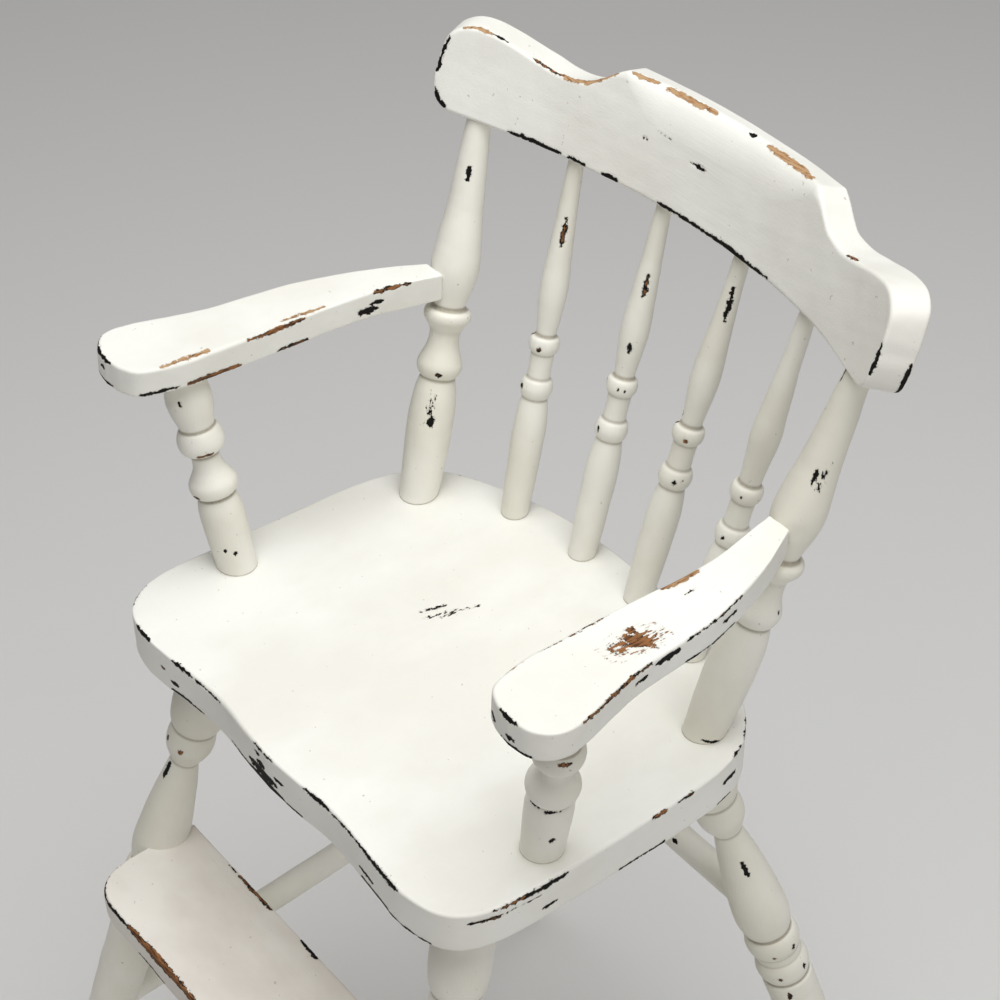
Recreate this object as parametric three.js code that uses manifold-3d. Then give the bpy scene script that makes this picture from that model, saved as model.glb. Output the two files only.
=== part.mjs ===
// Child's spindle-back high chair in painted wood.
// Millimetres, +Z up, floor at z = 0, front of the chair toward -Y.
import * as THREE from "three";
import { mergeVertices } from "three/addons/utils/BufferGeometryUtils.js";
import Module from "manifold-3d";

const wasm = await Module();
wasm.setup();

// ---------------------------------------------------------------- driving dimensions

// Fits
const GLUE_GAP = 0.3; // left round every tenon and at every butted face
const TURNING_SIDES = 16; // facets round a turned piece
const DOWEL_SIDES = 12;

// Seat board
const SEAT_HEIGHT = 560; // floor to the top of the seat
const SEAT_THICKNESS = 26.5;
const SEAT_HALF_WIDTH = 164;
const SEAT_FRONT = 176; // from the datum line across the seat to its front corners
const SEAT_BACK = 81.7; // from the datum line to the middle of the back edge
const SEAT_FRONT_HOLLOW = 4.6; // depth of the two hollows in the wavy front edge
const SEAT_FRONT_HOLLOW_X = 50; // where the hollows are deepest, from the middle
const SEAT_EDGE_EASE = 2.5;
const SEAT_SOCKET_DEPTH = 10; // for the pieces that stand on the seat
const LEG_TENON_DEPTH = 12;
const LEG_TENON_DIAMETER = 20;

// Where pieces stand on the seat, measured in from its sides and its back
const POST_FROM_SIDE = 34;
const POST_FROM_BACK = 58.3;
const OUTER_SPINDLE_FROM_SIDE = 84.2;
const OUTER_SPINDLE_FROM_BACK = 23.6;
const INNER_SPINDLE_X = 25.3;
const INNER_SPINDLE_FROM_BACK = 16.1;
const SUPPORT_FROM_SIDE = 21.3;
const SUPPORT_FROM_FRONT = 76;
const FRONT_LEG_FROM_SIDE = 44.3;
const FRONT_LEG_FROM_FRONT = 47.1;
const REAR_LEG_FROM_SIDE = 71.4;
const REAR_LEG_FROM_BACK = 41.8;

// Splay of the legs: how far they move outward for each millimetre down
const FRONT_LEG_SPLAY_X = 0.144;
const FRONT_LEG_SPLAY_Y = 0.265;
const REAR_LEG_SPLAY_X = 0.226;
const REAR_LEG_SPLAY_Y = 0.268;
const FOOT_DIAMETER = 23;

// Crest rail: a board curved in plan that leans back
const CREST_RADIUS = 330; // front face, seen along its height
const CREST_LEAN = THREE.MathUtils.degToRad(20);
const CREST_THICKNESS = 20;
const CREST_HALF_LENGTH = 186; // along the front face
const CREST_DATUM_Z = 205; // the leaning frame's origin, above the seat
const CREST_DATUM_Y = 111;
const CREST_HUMP_HALF = 76.5; // along the front face to the step corner
const CREST_HUMP_HEIGHT = 75.6;
const CREST_DIP_AT = 113;
const CREST_DIP_HEIGHT = 57;
const CREST_EAR_AT = 163;
const CREST_EAR_HEIGHT = 63.6;
const CREST_BOTTOM_MIDDLE = 15.6;
const CREST_BOTTOM_END = 12.4;
const CREST_EDGE_EASE = 1.6;
const CREST_HEAD_ROLL = 7; // the hump's front edge rolls back
const CREST_SOCKET_DEPTH = 12;
const POST_TOP_FROM_END = 31; // along the crest, from its end to the post
const OUTER_SPINDLE_TOP = 92.6; // along the crest, from the middle
const INNER_SPINDLE_TOP = 30.9;

// Arms
const ARM_THICKNESS = 17.5;
const ARM_TOP_ABOVE_SEAT = 145; // at the datum line
const ARM_PITCH = 0.037; // the arm rises this much per millimetre toward the front
const ARM_INNER_FROM_SIDE = 15.2; // straight inner edge, in from the seat's side
const ARM_FRONT_FROM_DATUM = 151;
const ARM_PADDLE_WIDTH = 53;
const ARM_WAIST_WIDTH = 36;
const ARM_BACK_WIDTH = 15;
const ARM_EDGE_EASE = 1.5;
const ARM_TENON_DIAMETER = 9;
const ARM_TENON_DEPTH = 8;
const SUPPORT_TENON_DIAMETER = 14;
const SUPPORT_TENON_DEPTH = 9;
const RIGHT_SUPPORT_LIFT = 5; // the right support is driven less deep into the seat
const SUPPORT_SPLAY_X = 0.219;
const SUPPORT_SPLAY_Y = 0.07;

// Footrest and stretchers
const FOOTREST_DROP = 180; // seat top to footrest top
const FOOTREST_THICKNESS = 18;
const FOOTREST_DEPTH = 76;
const FOOTREST_BEHIND_LEG = 17.7; // leg centre to the board's back edge
const FOOTREST_SHORT_OF_LEG = 7; // the board's end stops inside the leg's centre line
const FOOTREST_CORNER = 30;
const FOOTREST_EDGE_EASE = 2;
const FOOTREST_DOWEL_DIAMETER = 8;
const FOOTREST_DOWEL_IN_LEG = 9;
const FOOTREST_DOWEL_IN_BOARD = 18;
const STRETCHER_DIAMETER = 18;
const STRETCHER_TENON_DIAMETER = 13;
const STRETCHER_TENON_DEPTH = 9;
const SIDE_STRETCHER_FRONT_DROP = 334; // seat top to its centre at the front leg
const SIDE_STRETCHER_REAR_DROP = 285;
const REAR_STRETCHER_DROP = 187;

// Turned profiles: smooth runs of [distance along the axis, diameter], with a crease between runs.
// The last run of a post, spindle, support or leg ends at the piece's own length.
const POST_TURNING = [
  [[0, 23.4], [24, 26.4], [50, 27.8], [67, 25.4], [78, 20.6]],
  [[78, 20.6], [81, 24], [89, 26.6], [96, 23.4], [100, 19.4]],
  [[100, 19.4], [104, 18], [108, 19.8]],
  [[108, 19.8], [112, 25], [116.5, 28.2], [119.5, 26.6], [121, 22]],
  [[121, 18], [129, 21.6], [140, 27], [150, 28.6], [163, 26.4], [180, 22.2]],
];
const POST_TOP_DIAMETER = 13.8;
const SPINDLE_TURNING = [
  [[0, 16.5], [30, 18.6], [56, 19.6], [69, 18], [76.5, 14.8]],
  [[76.5, 14.8], [79, 17.6], [84, 19], [89, 17.4], [91.5, 14]],
  [[91.5, 14], [98.5, 13], [106, 13.8]],
  [[106, 14.4], [112, 17.4], [118.5, 14.4]],
  [[118.5, 11.6], [126, 13], [146, 16.6], [164, 15], [190, 11.6]],
];
const SPINDLE_TOP_DIAMETER = 8.8;
const SUPPORT_TURNING = [
  [[0, 23.6], [18, 25.2], [37, 26.2], [46, 24], [51, 20.6]],
  [[51, 25.2], [54, 27.8], [61, 28.2], [68, 22.6], [74, 17.8]],
  [[74, 17.8], [77, 17.4], [79.5, 18.4]],
  [[79.5, 22], [82, 25.6], [87, 27.2], [92, 25], [95, 20.4]],
  [[95, 20.4], [100, 22], [112, 27]],
];
const SUPPORT_TOP_DIAMETER = 21;
const LEG_TURNING = [
  [[-14, 24], [0, 27], [26, 33], [48, 35], [63, 32.6], [70, 26.6]],
  [[71.5, 26], [77, 28.8], [84, 29], [92, 23], [97, 17.4]],
  [[97, 17], [125, 26.2], [155, 32.6], [171, 34.2], [182, 31], [188, 26]],
  [[188, 29], [191, 32.6], [196, 33.6], [202, 31.4], [205, 27]],
  [[209, 28.6], [214, 32.2], [219, 33], [225, 31.4], [228, 28]],
  [[231, 32], [241, 32]],
];
const LEG_LOWER_DIAMETER = 31.6; // below the band
const LEG_LOWER_FROM = 242;
const LEG_STRETCHER_ZONE_END = 337; // the taper to the foot starts here

// Paint
const PAINT = { color: "#ece9df", roughness: 0.52, metalness: 0.0 };
const TURNED_PAINT = { color: "#e4dfd0", roughness: 0.5, metalness: 0.0 };
const FOOTREST_PAINT = { color: "#ddd6cb", roughness: 0.58, metalness: 0.0 };
const BARE_BEECH = { color: "#c59a66", roughness: 0.7, metalness: 0.0 };

// ---------------------------------------------------------------- helpers

const V = (x, y, z) => new THREE.Vector3(x, y, z);

// A closed three.js geometry as a solid that can be joined and cut.
function solid(geometry) {
  const plain = new THREE.BufferGeometry();
  const loose = geometry.index ? geometry.toNonIndexed() : geometry;
  plain.setAttribute("position", loose.getAttribute("position"));
  const merged = mergeVertices(plain, 1e-4);
  return new wasm.Manifold(
    new wasm.Mesh({
      numProp: 3,
      vertProperties: new Float32Array(merged.getAttribute("position").array),
      triVerts: new Uint32Array(merged.index.array),
    }),
  );
}

// A solid back as a three.js geometry with flat-shaded faces.
function geometryOf(body) {
  const mesh = body.getMesh();
  const indexed = new THREE.BufferGeometry();
  const positions = new Float32Array(mesh.numVert * 3);
  for (let i = 0; i < mesh.numVert; i++) {
    for (let k = 0; k < 3; k++) {
      positions[3 * i + k] = mesh.vertProperties[mesh.numProp * i + k];
    }
  }
  indexed.setAttribute("position", new THREE.BufferAttribute(positions, 3));
  indexed.setIndex(new THREE.BufferAttribute(new Uint32Array(mesh.triVerts), 1));
  const flat = indexed.toNonIndexed();
  flat.computeVertexNormals();
  return flat;
}

// An axis: a start point and a unit direction.
function axisThrough(from, to) {
  return { from, direction: to.clone().sub(from).normalize(), length: from.distanceTo(to) };
}

const along = (axis, distance) => axis.from.clone().addScaledVector(axis.direction, distance);

function axisAtHeight(axis, z) {
  return along(axis, (z - axis.from.z) / axis.direction.z);
}

// Turns a profile of [distance, radius] points round an axis.
function turned(points, axis, sides = TURNING_SIDES) {
  const first = points[0];
  const last = points[points.length - 1];
  const profile = [
    new THREE.Vector2(0, first[0]),
    ...points.map(([distance, radius]) => new THREE.Vector2(radius, distance)),
    new THREE.Vector2(0, last[0]),
  ];
  const geometry = new THREE.LatheGeometry(profile, sides);
  const turn = new THREE.Quaternion().setFromUnitVectors(V(0, 1, 0), axis.direction);
  geometry.applyQuaternion(turn);
  geometry.translate(axis.from.x, axis.from.y, axis.from.z);
  return solid(geometry);
}

const rod = (axis, start, end, diameter, sides = DOWEL_SIDES) =>
  turned([[start, diameter / 2], [end, diameter / 2]], axis, sides);

// Smooths each run of stations and joins the runs into one profile of [distance, radius].
function profileOf(runs, closing, grow = 0) {
  const points = [];
  for (const run of [...runs, closing]) {
    const curve = new THREE.SplineCurve(run.map(([at, diameter]) => new THREE.Vector2(at, diameter / 2)));
    const samples = run.length - 1;
    for (const p of curve.getPoints(samples)) {
      const previous = points[points.length - 1];
      if (!previous || p.x - previous[0] > 0.4 || Math.abs(p.y + grow - previous[1]) > 0.4) {
        points.push([p.x, p.y + grow]);
      }
    }
  }
  return points;
}

// A flat board: a plan outline with eased top and bottom edges, its top face at z = 0.
function boardGeometry(shape, thickness, ease, curveSegments = 10) {
  const geometry = new THREE.ExtrudeGeometry(shape, {
    depth: thickness - 2 * ease,
    bevelEnabled: true,
    bevelThickness: ease,
    bevelSize: ease,
    bevelOffset: -ease,
    bevelSegments: 1,
    curveSegments,
  });
  return geometry.translate(0, 0, ease - thickness);
}

// Closed body through rings of points that all have the same count.
function loft(rings) {
  const count = rings[0].length;
  const positions = [];
  const triangle = (a, b, c) => positions.push(...a.toArray(), ...b.toArray(), ...c.toArray());
  for (let i = 0; i + 1 < rings.length; i++) {
    for (let j = 0; j < count; j++) {
      const k = (j + 1) % count;
      triangle(rings[i][j], rings[i][k], rings[i + 1][k]);
      triangle(rings[i][j], rings[i + 1][k], rings[i + 1][j]);
    }
  }
  for (const [ring, flip] of [[rings[0], true], [rings[rings.length - 1], false]]) {
    const middle = V(0, 0, 0);
    ring.forEach((p) => middle.addScaledVector(p, 1 / count));
    for (let j = 0; j < count; j++) {
      const k = (j + 1) % count;
      if (flip) triangle(middle, ring[k], ring[j]);
      else triangle(middle, ring[j], ring[k]);
    }
  }
  const geometry = new THREE.BufferGeometry();
  geometry.setAttribute("position", new THREE.Float32BufferAttribute(positions, 3));
  return solid(geometry);
}

// A slab far larger than the chair that covers everything on one side of a plane.
function beyond(point, normal) {
  const size = 2000;
  const box = new THREE.BoxGeometry(size, size, size);
  box.translate(0, 0, size / 2);
  box.applyQuaternion(new THREE.Quaternion().setFromUnitVectors(V(0, 0, 1), normal.clone().normalize()));
  box.translate(point.x, point.y, point.z);
  return solid(box);
}

const mirrored = (point) => V(-point.x, point.y, point.z);
const cut = (body, ...tools) => tools.reduce((rest, tool) => rest.subtract(tool), body);
const join = (...bodies) => bodies.reduce((all, body) => all.add(body));

const group = new THREE.Group();
group.name = "high_chair";

function place(name, body, finish, shape = geometryOf(body)) {
  const mesh = new THREE.Mesh(shape, new THREE.MeshStandardMaterial(finish));
  mesh.name = name;
  group.add(mesh);
}

// The right-hand piece, and the left-hand piece as its mirror image with the faces turned back round.
function placePair(name, body, finish) {
  place(`${name}_right`, body, finish);
  const shape = geometryOf(body).scale(-1, 1, 1);
  const position = shape.getAttribute("position");
  for (let i = 0; i < position.count; i += 3) {
    const second = V(position.getX(i + 1), position.getY(i + 1), position.getZ(i + 1));
    position.setXYZ(i + 1, position.getX(i + 2), position.getY(i + 2), position.getZ(i + 2));
    position.setXYZ(i + 2, second.x, second.y, second.z);
  }
  shape.computeVertexNormals();
  place(`${name}_left`, body, finish, shape);
}

// ---------------------------------------------------------------- lines everything is set out from

const seatTop = SEAT_HEIGHT;
const seatUnder = SEAT_HEIGHT - SEAT_THICKNESS;
const up = V(0, 0, 1);

// A point of the crest: s along its front face, v from front to back, h up its leaning height.
function crestPoint(s, v, h) {
  const angle = s / CREST_RADIUS;
  const x = (CREST_RADIUS + v) * Math.sin(angle);
  const back = (CREST_RADIUS + v) * Math.cos(angle) - CREST_RADIUS;
  const y = CREST_DATUM_Y + back * Math.cos(CREST_LEAN) + h * Math.sin(CREST_LEAN);
  const z = seatTop + CREST_DATUM_Z - back * Math.sin(CREST_LEAN) + h * Math.cos(CREST_LEAN);
  return V(x, y, z);
}

// The crest's underside, as a height up its face.
function crestBottom(s) {
  const share = Math.min(1, Math.abs(s) / CREST_EAR_AT);
  return THREE.MathUtils.lerp(CREST_BOTTOM_MIDDLE, CREST_BOTTOM_END, share * share);
}

function standingAxis(x, fromBack, crestS) {
  const foot = V(x, SEAT_BACK - fromBack, seatTop);
  const head = crestPoint(crestS, CREST_THICKNESS / 2, crestBottom(crestS));
  return axisThrough(foot, head);
}

const postX = SEAT_HALF_WIDTH - POST_FROM_SIDE;
const outerSpindleX = SEAT_HALF_WIDTH - OUTER_SPINDLE_FROM_SIDE;
const postAxis = standingAxis(postX, POST_FROM_BACK, CREST_HALF_LENGTH - POST_TOP_FROM_END);
const outerSpindleAxis = standingAxis(outerSpindleX, OUTER_SPINDLE_FROM_BACK, OUTER_SPINDLE_TOP);
const innerSpindleAxis = standingAxis(INNER_SPINDLE_X, INNER_SPINDLE_FROM_BACK, INNER_SPINDLE_TOP);

function mirroredAxis(axis) {
  const direction = mirrored(axis.direction);
  return { from: mirrored(axis.from), direction, length: axis.length };
}

// Leg axes start at the seat's underside and run down and outward.
function legAxis(x, y, splayX, splayY) {
  const start = V(x, y, seatUnder);
  return axisThrough(start, V(x + splayX * seatUnder, y + splayY * seatUnder, 0));
}

const frontLegAxis = legAxis(
  SEAT_HALF_WIDTH - FRONT_LEG_FROM_SIDE,
  FRONT_LEG_FROM_FRONT - SEAT_FRONT,
  FRONT_LEG_SPLAY_X,
  -FRONT_LEG_SPLAY_Y,
);
const rearLegAxis = legAxis(
  SEAT_HALF_WIDTH - REAR_LEG_FROM_SIDE,
  SEAT_BACK - REAR_LEG_FROM_BACK,
  REAR_LEG_SPLAY_X,
  REAR_LEG_SPLAY_Y,
);

// The arm's top plane and the support under it.
const armTopZ = (y) => seatTop + ARM_TOP_ABOVE_SEAT - ARM_PITCH * y;
const armNormal = V(0, ARM_PITCH, 1).normalize();
const armUnderPoint = V(0, 0, armTopZ(0)).addScaledVector(armNormal, -ARM_THICKNESS);
const supportFoot = V(SEAT_HALF_WIDTH - SUPPORT_FROM_SIDE, SUPPORT_FROM_FRONT - SEAT_FRONT, seatTop);
const supportDirection = V(SUPPORT_SPLAY_X, -SUPPORT_SPLAY_Y, 1).normalize();
const supportLength =
  armUnderPoint.clone().sub(supportFoot).dot(armNormal) / supportDirection.dot(armNormal);
const supportAxis = { from: supportFoot, direction: supportDirection, length: supportLength };

// ---------------------------------------------------------------- turned pieces

// Post and spindle: straight into the seat, a long taper, straight into the crest.
function standingTurning(runs, topDiameter, axis, grow = 0, extra = 0) {
  const lastRun = runs[runs.length - 1];
  const closing = [lastRun[lastRun.length - 1], [axis.length, topDiameter]];
  const foot = runs[0][0][1] / 2 + grow;
  const profile = profileOf(runs, closing, grow);
  profile.unshift([-SEAT_SOCKET_DEPTH - extra, foot]);
  profile.push([axis.length + CREST_SOCKET_DEPTH + extra, topDiameter / 2 + grow]);
  return turned(profile, axis);
}

// Arm support: the turning is trimmed to the arm's underside and carries a tenon.
function supportTurning(axis, lift) {
  const runs = SUPPORT_TURNING.map((run) => run.map(([at, diameter]) => [at + lift, diameter]));
  const lastRun = runs[runs.length - 1];
  const beyondArm = axis.length + ARM_THICKNESS;
  const closing = [lastRun[lastRun.length - 1], [axis.length, SUPPORT_TOP_DIAMETER]];
  const profile = profileOf(runs, closing);
  profile.unshift([-SEAT_SOCKET_DEPTH, SUPPORT_TURNING[0][0][1] / 2]);
  profile.push([beyondArm, SUPPORT_TOP_DIAMETER / 2]);
  const trimAt = armUnderPoint.clone().addScaledVector(armNormal, -GLUE_GAP);
  const body = cut(turned(profile, axis), beyond(trimAt, armNormal));
  const tenonEnd = axis.length + SUPPORT_TENON_DEPTH;
  return join(body, rod(axis, axis.length - 12, tenonEnd, SUPPORT_TENON_DIAMETER));
}

function legProfile(axis, grow = 0) {
  const closing = [
    [LEG_LOWER_FROM, LEG_LOWER_DIAMETER],
    [(LEG_LOWER_FROM + LEG_STRETCHER_ZONE_END) / 2, LEG_LOWER_DIAMETER - 0.5],
    [LEG_STRETCHER_ZONE_END, LEG_LOWER_DIAMETER - 2],
    [axis.length, FOOT_DIAMETER],
  ];
  const profile = profileOf(LEG_TURNING, closing, grow);
  profile.push([axis.length + FOOT_DIAMETER, FOOT_DIAMETER / 2 - 1 + grow]);
  return profile;
}

// Leg: trimmed flat under the seat and at the floor, with a tenon up into the seat.
function legTurning(axis) {
  const trimTop = beyond(V(0, 0, seatUnder - GLUE_GAP), up);
  const trimFloor = beyond(V(0, 0, 0), up.clone().negate());
  const body = cut(turned(legProfile(axis), axis), trimTop, trimFloor);
  const tenonLength = LEG_TENON_DEPTH / Math.abs(axis.direction.z);
  return join(body, rod(axis, -tenonLength, 20, LEG_TENON_DIAMETER));
}

const legClearance = (axis) => turned(legProfile(axis, GLUE_GAP), axis);

// ---------------------------------------------------------------- stretchers and their holes

// A plain rod between two legs, coped to them, with a tenon into each.
function stretcherBetween(startAxis, startZ, endAxis, endZ) {
  const line = axisThrough(axisAtHeight(startAxis, startZ), axisAtHeight(endAxis, endZ));
  const coped = cut(
    rod(line, 0, line.length, STRETCHER_DIAMETER, TURNING_SIDES),
    legClearance(startAxis),
    legClearance(endAxis),
  );
  const surface = LEG_LOWER_DIAMETER / 2 - 1;
  const tenonFrom = surface - STRETCHER_TENON_DEPTH;
  const body = join(coped, rod(line, tenonFrom, line.length - tenonFrom, STRETCHER_TENON_DIAMETER));
  const holes = rod(
    line,
    tenonFrom - GLUE_GAP,
    line.length - tenonFrom + GLUE_GAP,
    STRETCHER_TENON_DIAMETER + 2 * GLUE_GAP,
  );
  return { body, holes };
}

const sideFrontZ = seatTop - SIDE_STRETCHER_FRONT_DROP;
const sideRearZ = seatTop - SIDE_STRETCHER_REAR_DROP;
const rearZ = seatTop - REAR_STRETCHER_DROP;
const sideStretcher = stretcherBetween(frontLegAxis, sideFrontZ, rearLegAxis, sideRearZ);
const rearStretcher = stretcherBetween(mirroredAxis(rearLegAxis), rearZ, rearLegAxis, rearZ);

// ---------------------------------------------------------------- footrest

const footrestTop = seatTop - FOOTREST_DROP;
const footrestLeg = axisAtHeight(frontLegAxis, footrestTop);
const footrestHalf = footrestLeg.x - FOOTREST_SHORT_OF_LEG;
const footrestBackY = footrestLeg.y + FOOTREST_BEHIND_LEG;
const footrestFrontY = footrestBackY - FOOTREST_DEPTH;
const footrestShape = new THREE.Shape();
footrestShape.moveTo(-footrestHalf, footrestBackY);
footrestShape.lineTo(-footrestHalf, footrestFrontY + FOOTREST_CORNER);
footrestShape.quadraticCurveTo(
  -footrestHalf,
  footrestFrontY,
  -footrestHalf + FOOTREST_CORNER,
  footrestFrontY,
);
footrestShape.lineTo(footrestHalf - FOOTREST_CORNER, footrestFrontY);
footrestShape.quadraticCurveTo(
  footrestHalf,
  footrestFrontY,
  footrestHalf,
  footrestFrontY + FOOTREST_CORNER,
);
footrestShape.lineTo(footrestHalf, footrestBackY);

// A hidden dowel from the middle of each leg's notch into the board.
const dowelZ = footrestTop - FOOTREST_THICKNESS / 2;
const dowelLeg = axisAtHeight(frontLegAxis, dowelZ);
const notchRadius = LEG_TURNING[2][3][1] / 2;
function dowelAxisAt(side) {
  const legPoint = V(side * dowelLeg.x, dowelLeg.y, dowelZ);
  return axisThrough(legPoint, V(0, dowelLeg.y - 40, dowelZ));
}
function footrestDowel(side) {
  const axis = dowelAxisAt(side);
  const start = notchRadius - FOOTREST_DOWEL_IN_LEG;
  const end = notchRadius + FOOTREST_DOWEL_IN_BOARD;
  const body = rod(axis, start, end, FOOTREST_DOWEL_DIAMETER);
  const hole = rod(axis, start - GLUE_GAP, end + GLUE_GAP, FOOTREST_DOWEL_DIAMETER + 2 * GLUE_GAP);
  return { body, hole };
}
const leftDowel = footrestDowel(-1);
const rightDowel = footrestDowel(1);

const footrestBoard = cut(
  solid(boardGeometry(footrestShape, FOOTREST_THICKNESS, FOOTREST_EDGE_EASE, 6).translate(0, 0, footrestTop)),
  legClearance(frontLegAxis),
  legClearance(mirroredAxis(frontLegAxis)),
  leftDowel.hole,
  rightDowel.hole,
);
place("footrest", footrestBoard, FOOTREST_PAINT);
place("footrest_dowel_left", leftDowel.body, BARE_BEECH);
place("footrest_dowel_right", rightDowel.body, BARE_BEECH);

// ---------------------------------------------------------------- seat

// Half of the outline on the +x side, from the middle of the front to the middle of the back.
const W = SEAT_HALF_WIDTH;
const seatHalfOutline = [
  [0, -SEAT_FRONT + 0.6],
  [SEAT_FRONT_HOLLOW_X / 2, -SEAT_FRONT + SEAT_FRONT_HOLLOW / 2],
  [SEAT_FRONT_HOLLOW_X, -SEAT_FRONT + SEAT_FRONT_HOLLOW],
  [SEAT_FRONT_HOLLOW_X + 26, -SEAT_FRONT + SEAT_FRONT_HOLLOW * 0.75],
  [W - 62, -SEAT_FRONT + 0.6],
  [W - 40, -SEAT_FRONT],
  [W - 20, -SEAT_FRONT + 5],
  [W - 8, -SEAT_FRONT + 16],
  [W - 1.8, -SEAT_FRONT + 34],
  [W, -SEAT_FRONT + 60],
  [W - 0.8, -SEAT_FRONT + 112],
  [W - 2.2, SEAT_BACK - 102],
  [W - 4.6, SEAT_BACK - 74],
  [W - 10, SEAT_BACK - 55],
  [W - 20, SEAT_BACK - 40],
  [W - 36, SEAT_BACK - 27],
  [W - 61, SEAT_BACK - 15.4],
  [W - 88, SEAT_BACK - 7.8],
  [50, SEAT_BACK - 2.6],
  [20, SEAT_BACK - 0.4],
  [0, SEAT_BACK],
];
const seatPoints = [
  ...seatHalfOutline.map(([x, y]) => new THREE.Vector2(x, y)),
  ...seatHalfOutline.slice(1, -1).reverse().map(([x, y]) => new THREE.Vector2(-x, y)),
];
const seatShape = new THREE.Shape(seatPoints);

function socket(axis, start, end, diameter) {
  return rod(axis, start - GLUE_GAP, end, diameter + 2 * GLUE_GAP, TURNING_SIDES);
}

const standing = [
  [postAxis, POST_TURNING],
  [outerSpindleAxis, SPINDLE_TURNING],
  [innerSpindleAxis, SPINDLE_TURNING],
  [supportAxis, SUPPORT_TURNING],
];
const seatSockets = standing.flatMap(([axis, turning]) =>
  [axis, mirroredAxis(axis)].map((line) => socket(line, -SEAT_SOCKET_DEPTH, 12, turning[0][0][1])),
);
const legTenonLength = (axis) => LEG_TENON_DEPTH / Math.abs(axis.direction.z);
const legSockets = [frontLegAxis, rearLegAxis].flatMap((axis) =>
  [axis, mirroredAxis(axis)].map((line) => socket(line, -legTenonLength(line), 12, LEG_TENON_DIAMETER)),
);
const seatBody = cut(
  solid(boardGeometry(seatShape, SEAT_THICKNESS, SEAT_EDGE_EASE).translate(0, 0, seatTop)),
  ...seatSockets,
  ...legSockets,
);
place("seat", seatBody, PAINT);

// ---------------------------------------------------------------- crest rail

const crestTopOutline = new THREE.CatmullRomCurve3([
  V(CREST_HUMP_HALF, CREST_HUMP_HEIGHT, 0),
  V(CREST_HUMP_HALF + 7, CREST_HUMP_HEIGHT - 5.4, 0),
  V(CREST_HUMP_HALF + 14, CREST_DIP_HEIGHT + 7.2, 0),
  V(CREST_HUMP_HALF + 22, CREST_DIP_HEIGHT + 2.6, 0),
  V(CREST_DIP_AT, CREST_DIP_HEIGHT, 0),
  V(CREST_DIP_AT + 16, CREST_DIP_HEIGHT + 1.6, 0),
  V(CREST_EAR_AT - 15, CREST_EAR_HEIGHT - 1.6, 0),
  V(CREST_EAR_AT, CREST_EAR_HEIGHT, 0),
  V(CREST_HALF_LENGTH - 14, CREST_EAR_HEIGHT - 0.8, 0),
  V(CREST_HALF_LENGTH - 7, CREST_EAR_HEIGHT - 4, 0),
  V(CREST_HALF_LENGTH - 2, CREST_EAR_HEIGHT - 9.6, 0),
  V(CREST_HALF_LENGTH, CREST_EAR_HEIGHT - 20, 0),
]);
const crestBottomCorner = [
  [CREST_HALF_LENGTH - 13, 0],
  [CREST_HALF_LENGTH - 7, 2],
  [CREST_HALF_LENGTH - 3, 6],
  [CREST_HALF_LENGTH, 16],
];

// Straight-line reading of a list of [at, value] points.
function reading(list, at) {
  if (at <= list[0][0]) return list[0][1];
  for (let i = 1; i < list.length; i++) {
    if (at <= list[i][0]) {
      const share = (at - list[i - 1][0]) / (list[i][0] - list[i - 1][0]);
      return THREE.MathUtils.lerp(list[i - 1][1], list[i][1], share);
    }
  }
  return list[list.length - 1][1];
}

const topReadings = crestTopOutline.getPoints(60).map((p) => [p.x, p.y]);
const crestTop = (s) => reading([[0, CREST_HUMP_HEIGHT + 0.9], ...topReadings], Math.abs(s));
const crestUnder = (s) => crestBottom(s) + reading(crestBottomCorner, Math.abs(s));

// One section across the crest, as a ring from the front underside round to the front top.
function crestSection(s) {
  const bottom = crestUnder(s);
  const top = crestTop(s);
  const ease = CREST_EDGE_EASE;
  const inHump = THREE.MathUtils.smoothstep(CREST_HUMP_HALF + 8 - Math.abs(s), 0, 14);
  const roll = THREE.MathUtils.lerp(ease, CREST_HEAD_ROLL, inHump);
  const back = CREST_THICKNESS;
  return [
    crestPoint(s, 0, bottom + ease),
    crestPoint(s, ease, bottom),
    crestPoint(s, back - ease, bottom),
    crestPoint(s, back, bottom + ease),
    crestPoint(s, back, top - ease),
    crestPoint(s, back - ease, top),
    crestPoint(s, roll * 1.15, top),
    crestPoint(s, roll * 0.38, top - roll * 0.4),
    crestPoint(s, 0, top - roll * 1.2),
  ];
}

const halfStations = [
  0, 16, 32, 48, 64, CREST_HUMP_HALF,
  CREST_HUMP_HALF + 7, CREST_HUMP_HALF + 14, CREST_HUMP_HALF + 23, CREST_DIP_AT,
  CREST_DIP_AT + 14, CREST_EAR_AT - 22, CREST_EAR_AT - 8, CREST_EAR_AT + 3,
  CREST_HALF_LENGTH - 13, CREST_HALF_LENGTH - 7, CREST_HALF_LENGTH - 2, CREST_HALF_LENGTH,
];
const crestStations = [...halfStations.slice(1).reverse().map((s) => -s), ...halfStations];
const crestSockets = [
  [postAxis, POST_TOP_DIAMETER],
  [outerSpindleAxis, SPINDLE_TOP_DIAMETER],
  [innerSpindleAxis, SPINDLE_TOP_DIAMETER],
].flatMap(([axis, diameter]) =>
  [axis, mirroredAxis(axis)].map((line) =>
    rod(
      line,
      line.length - 14,
      line.length + CREST_SOCKET_DEPTH + GLUE_GAP,
      diameter + 2 * GLUE_GAP,
      TURNING_SIDES,
    ),
  ),
);
const crestBody = cut(loft(crestStations.map(crestSection)), ...crestSockets);
place("crest_rail", crestBody, PAINT);

// ---------------------------------------------------------------- arms

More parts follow.
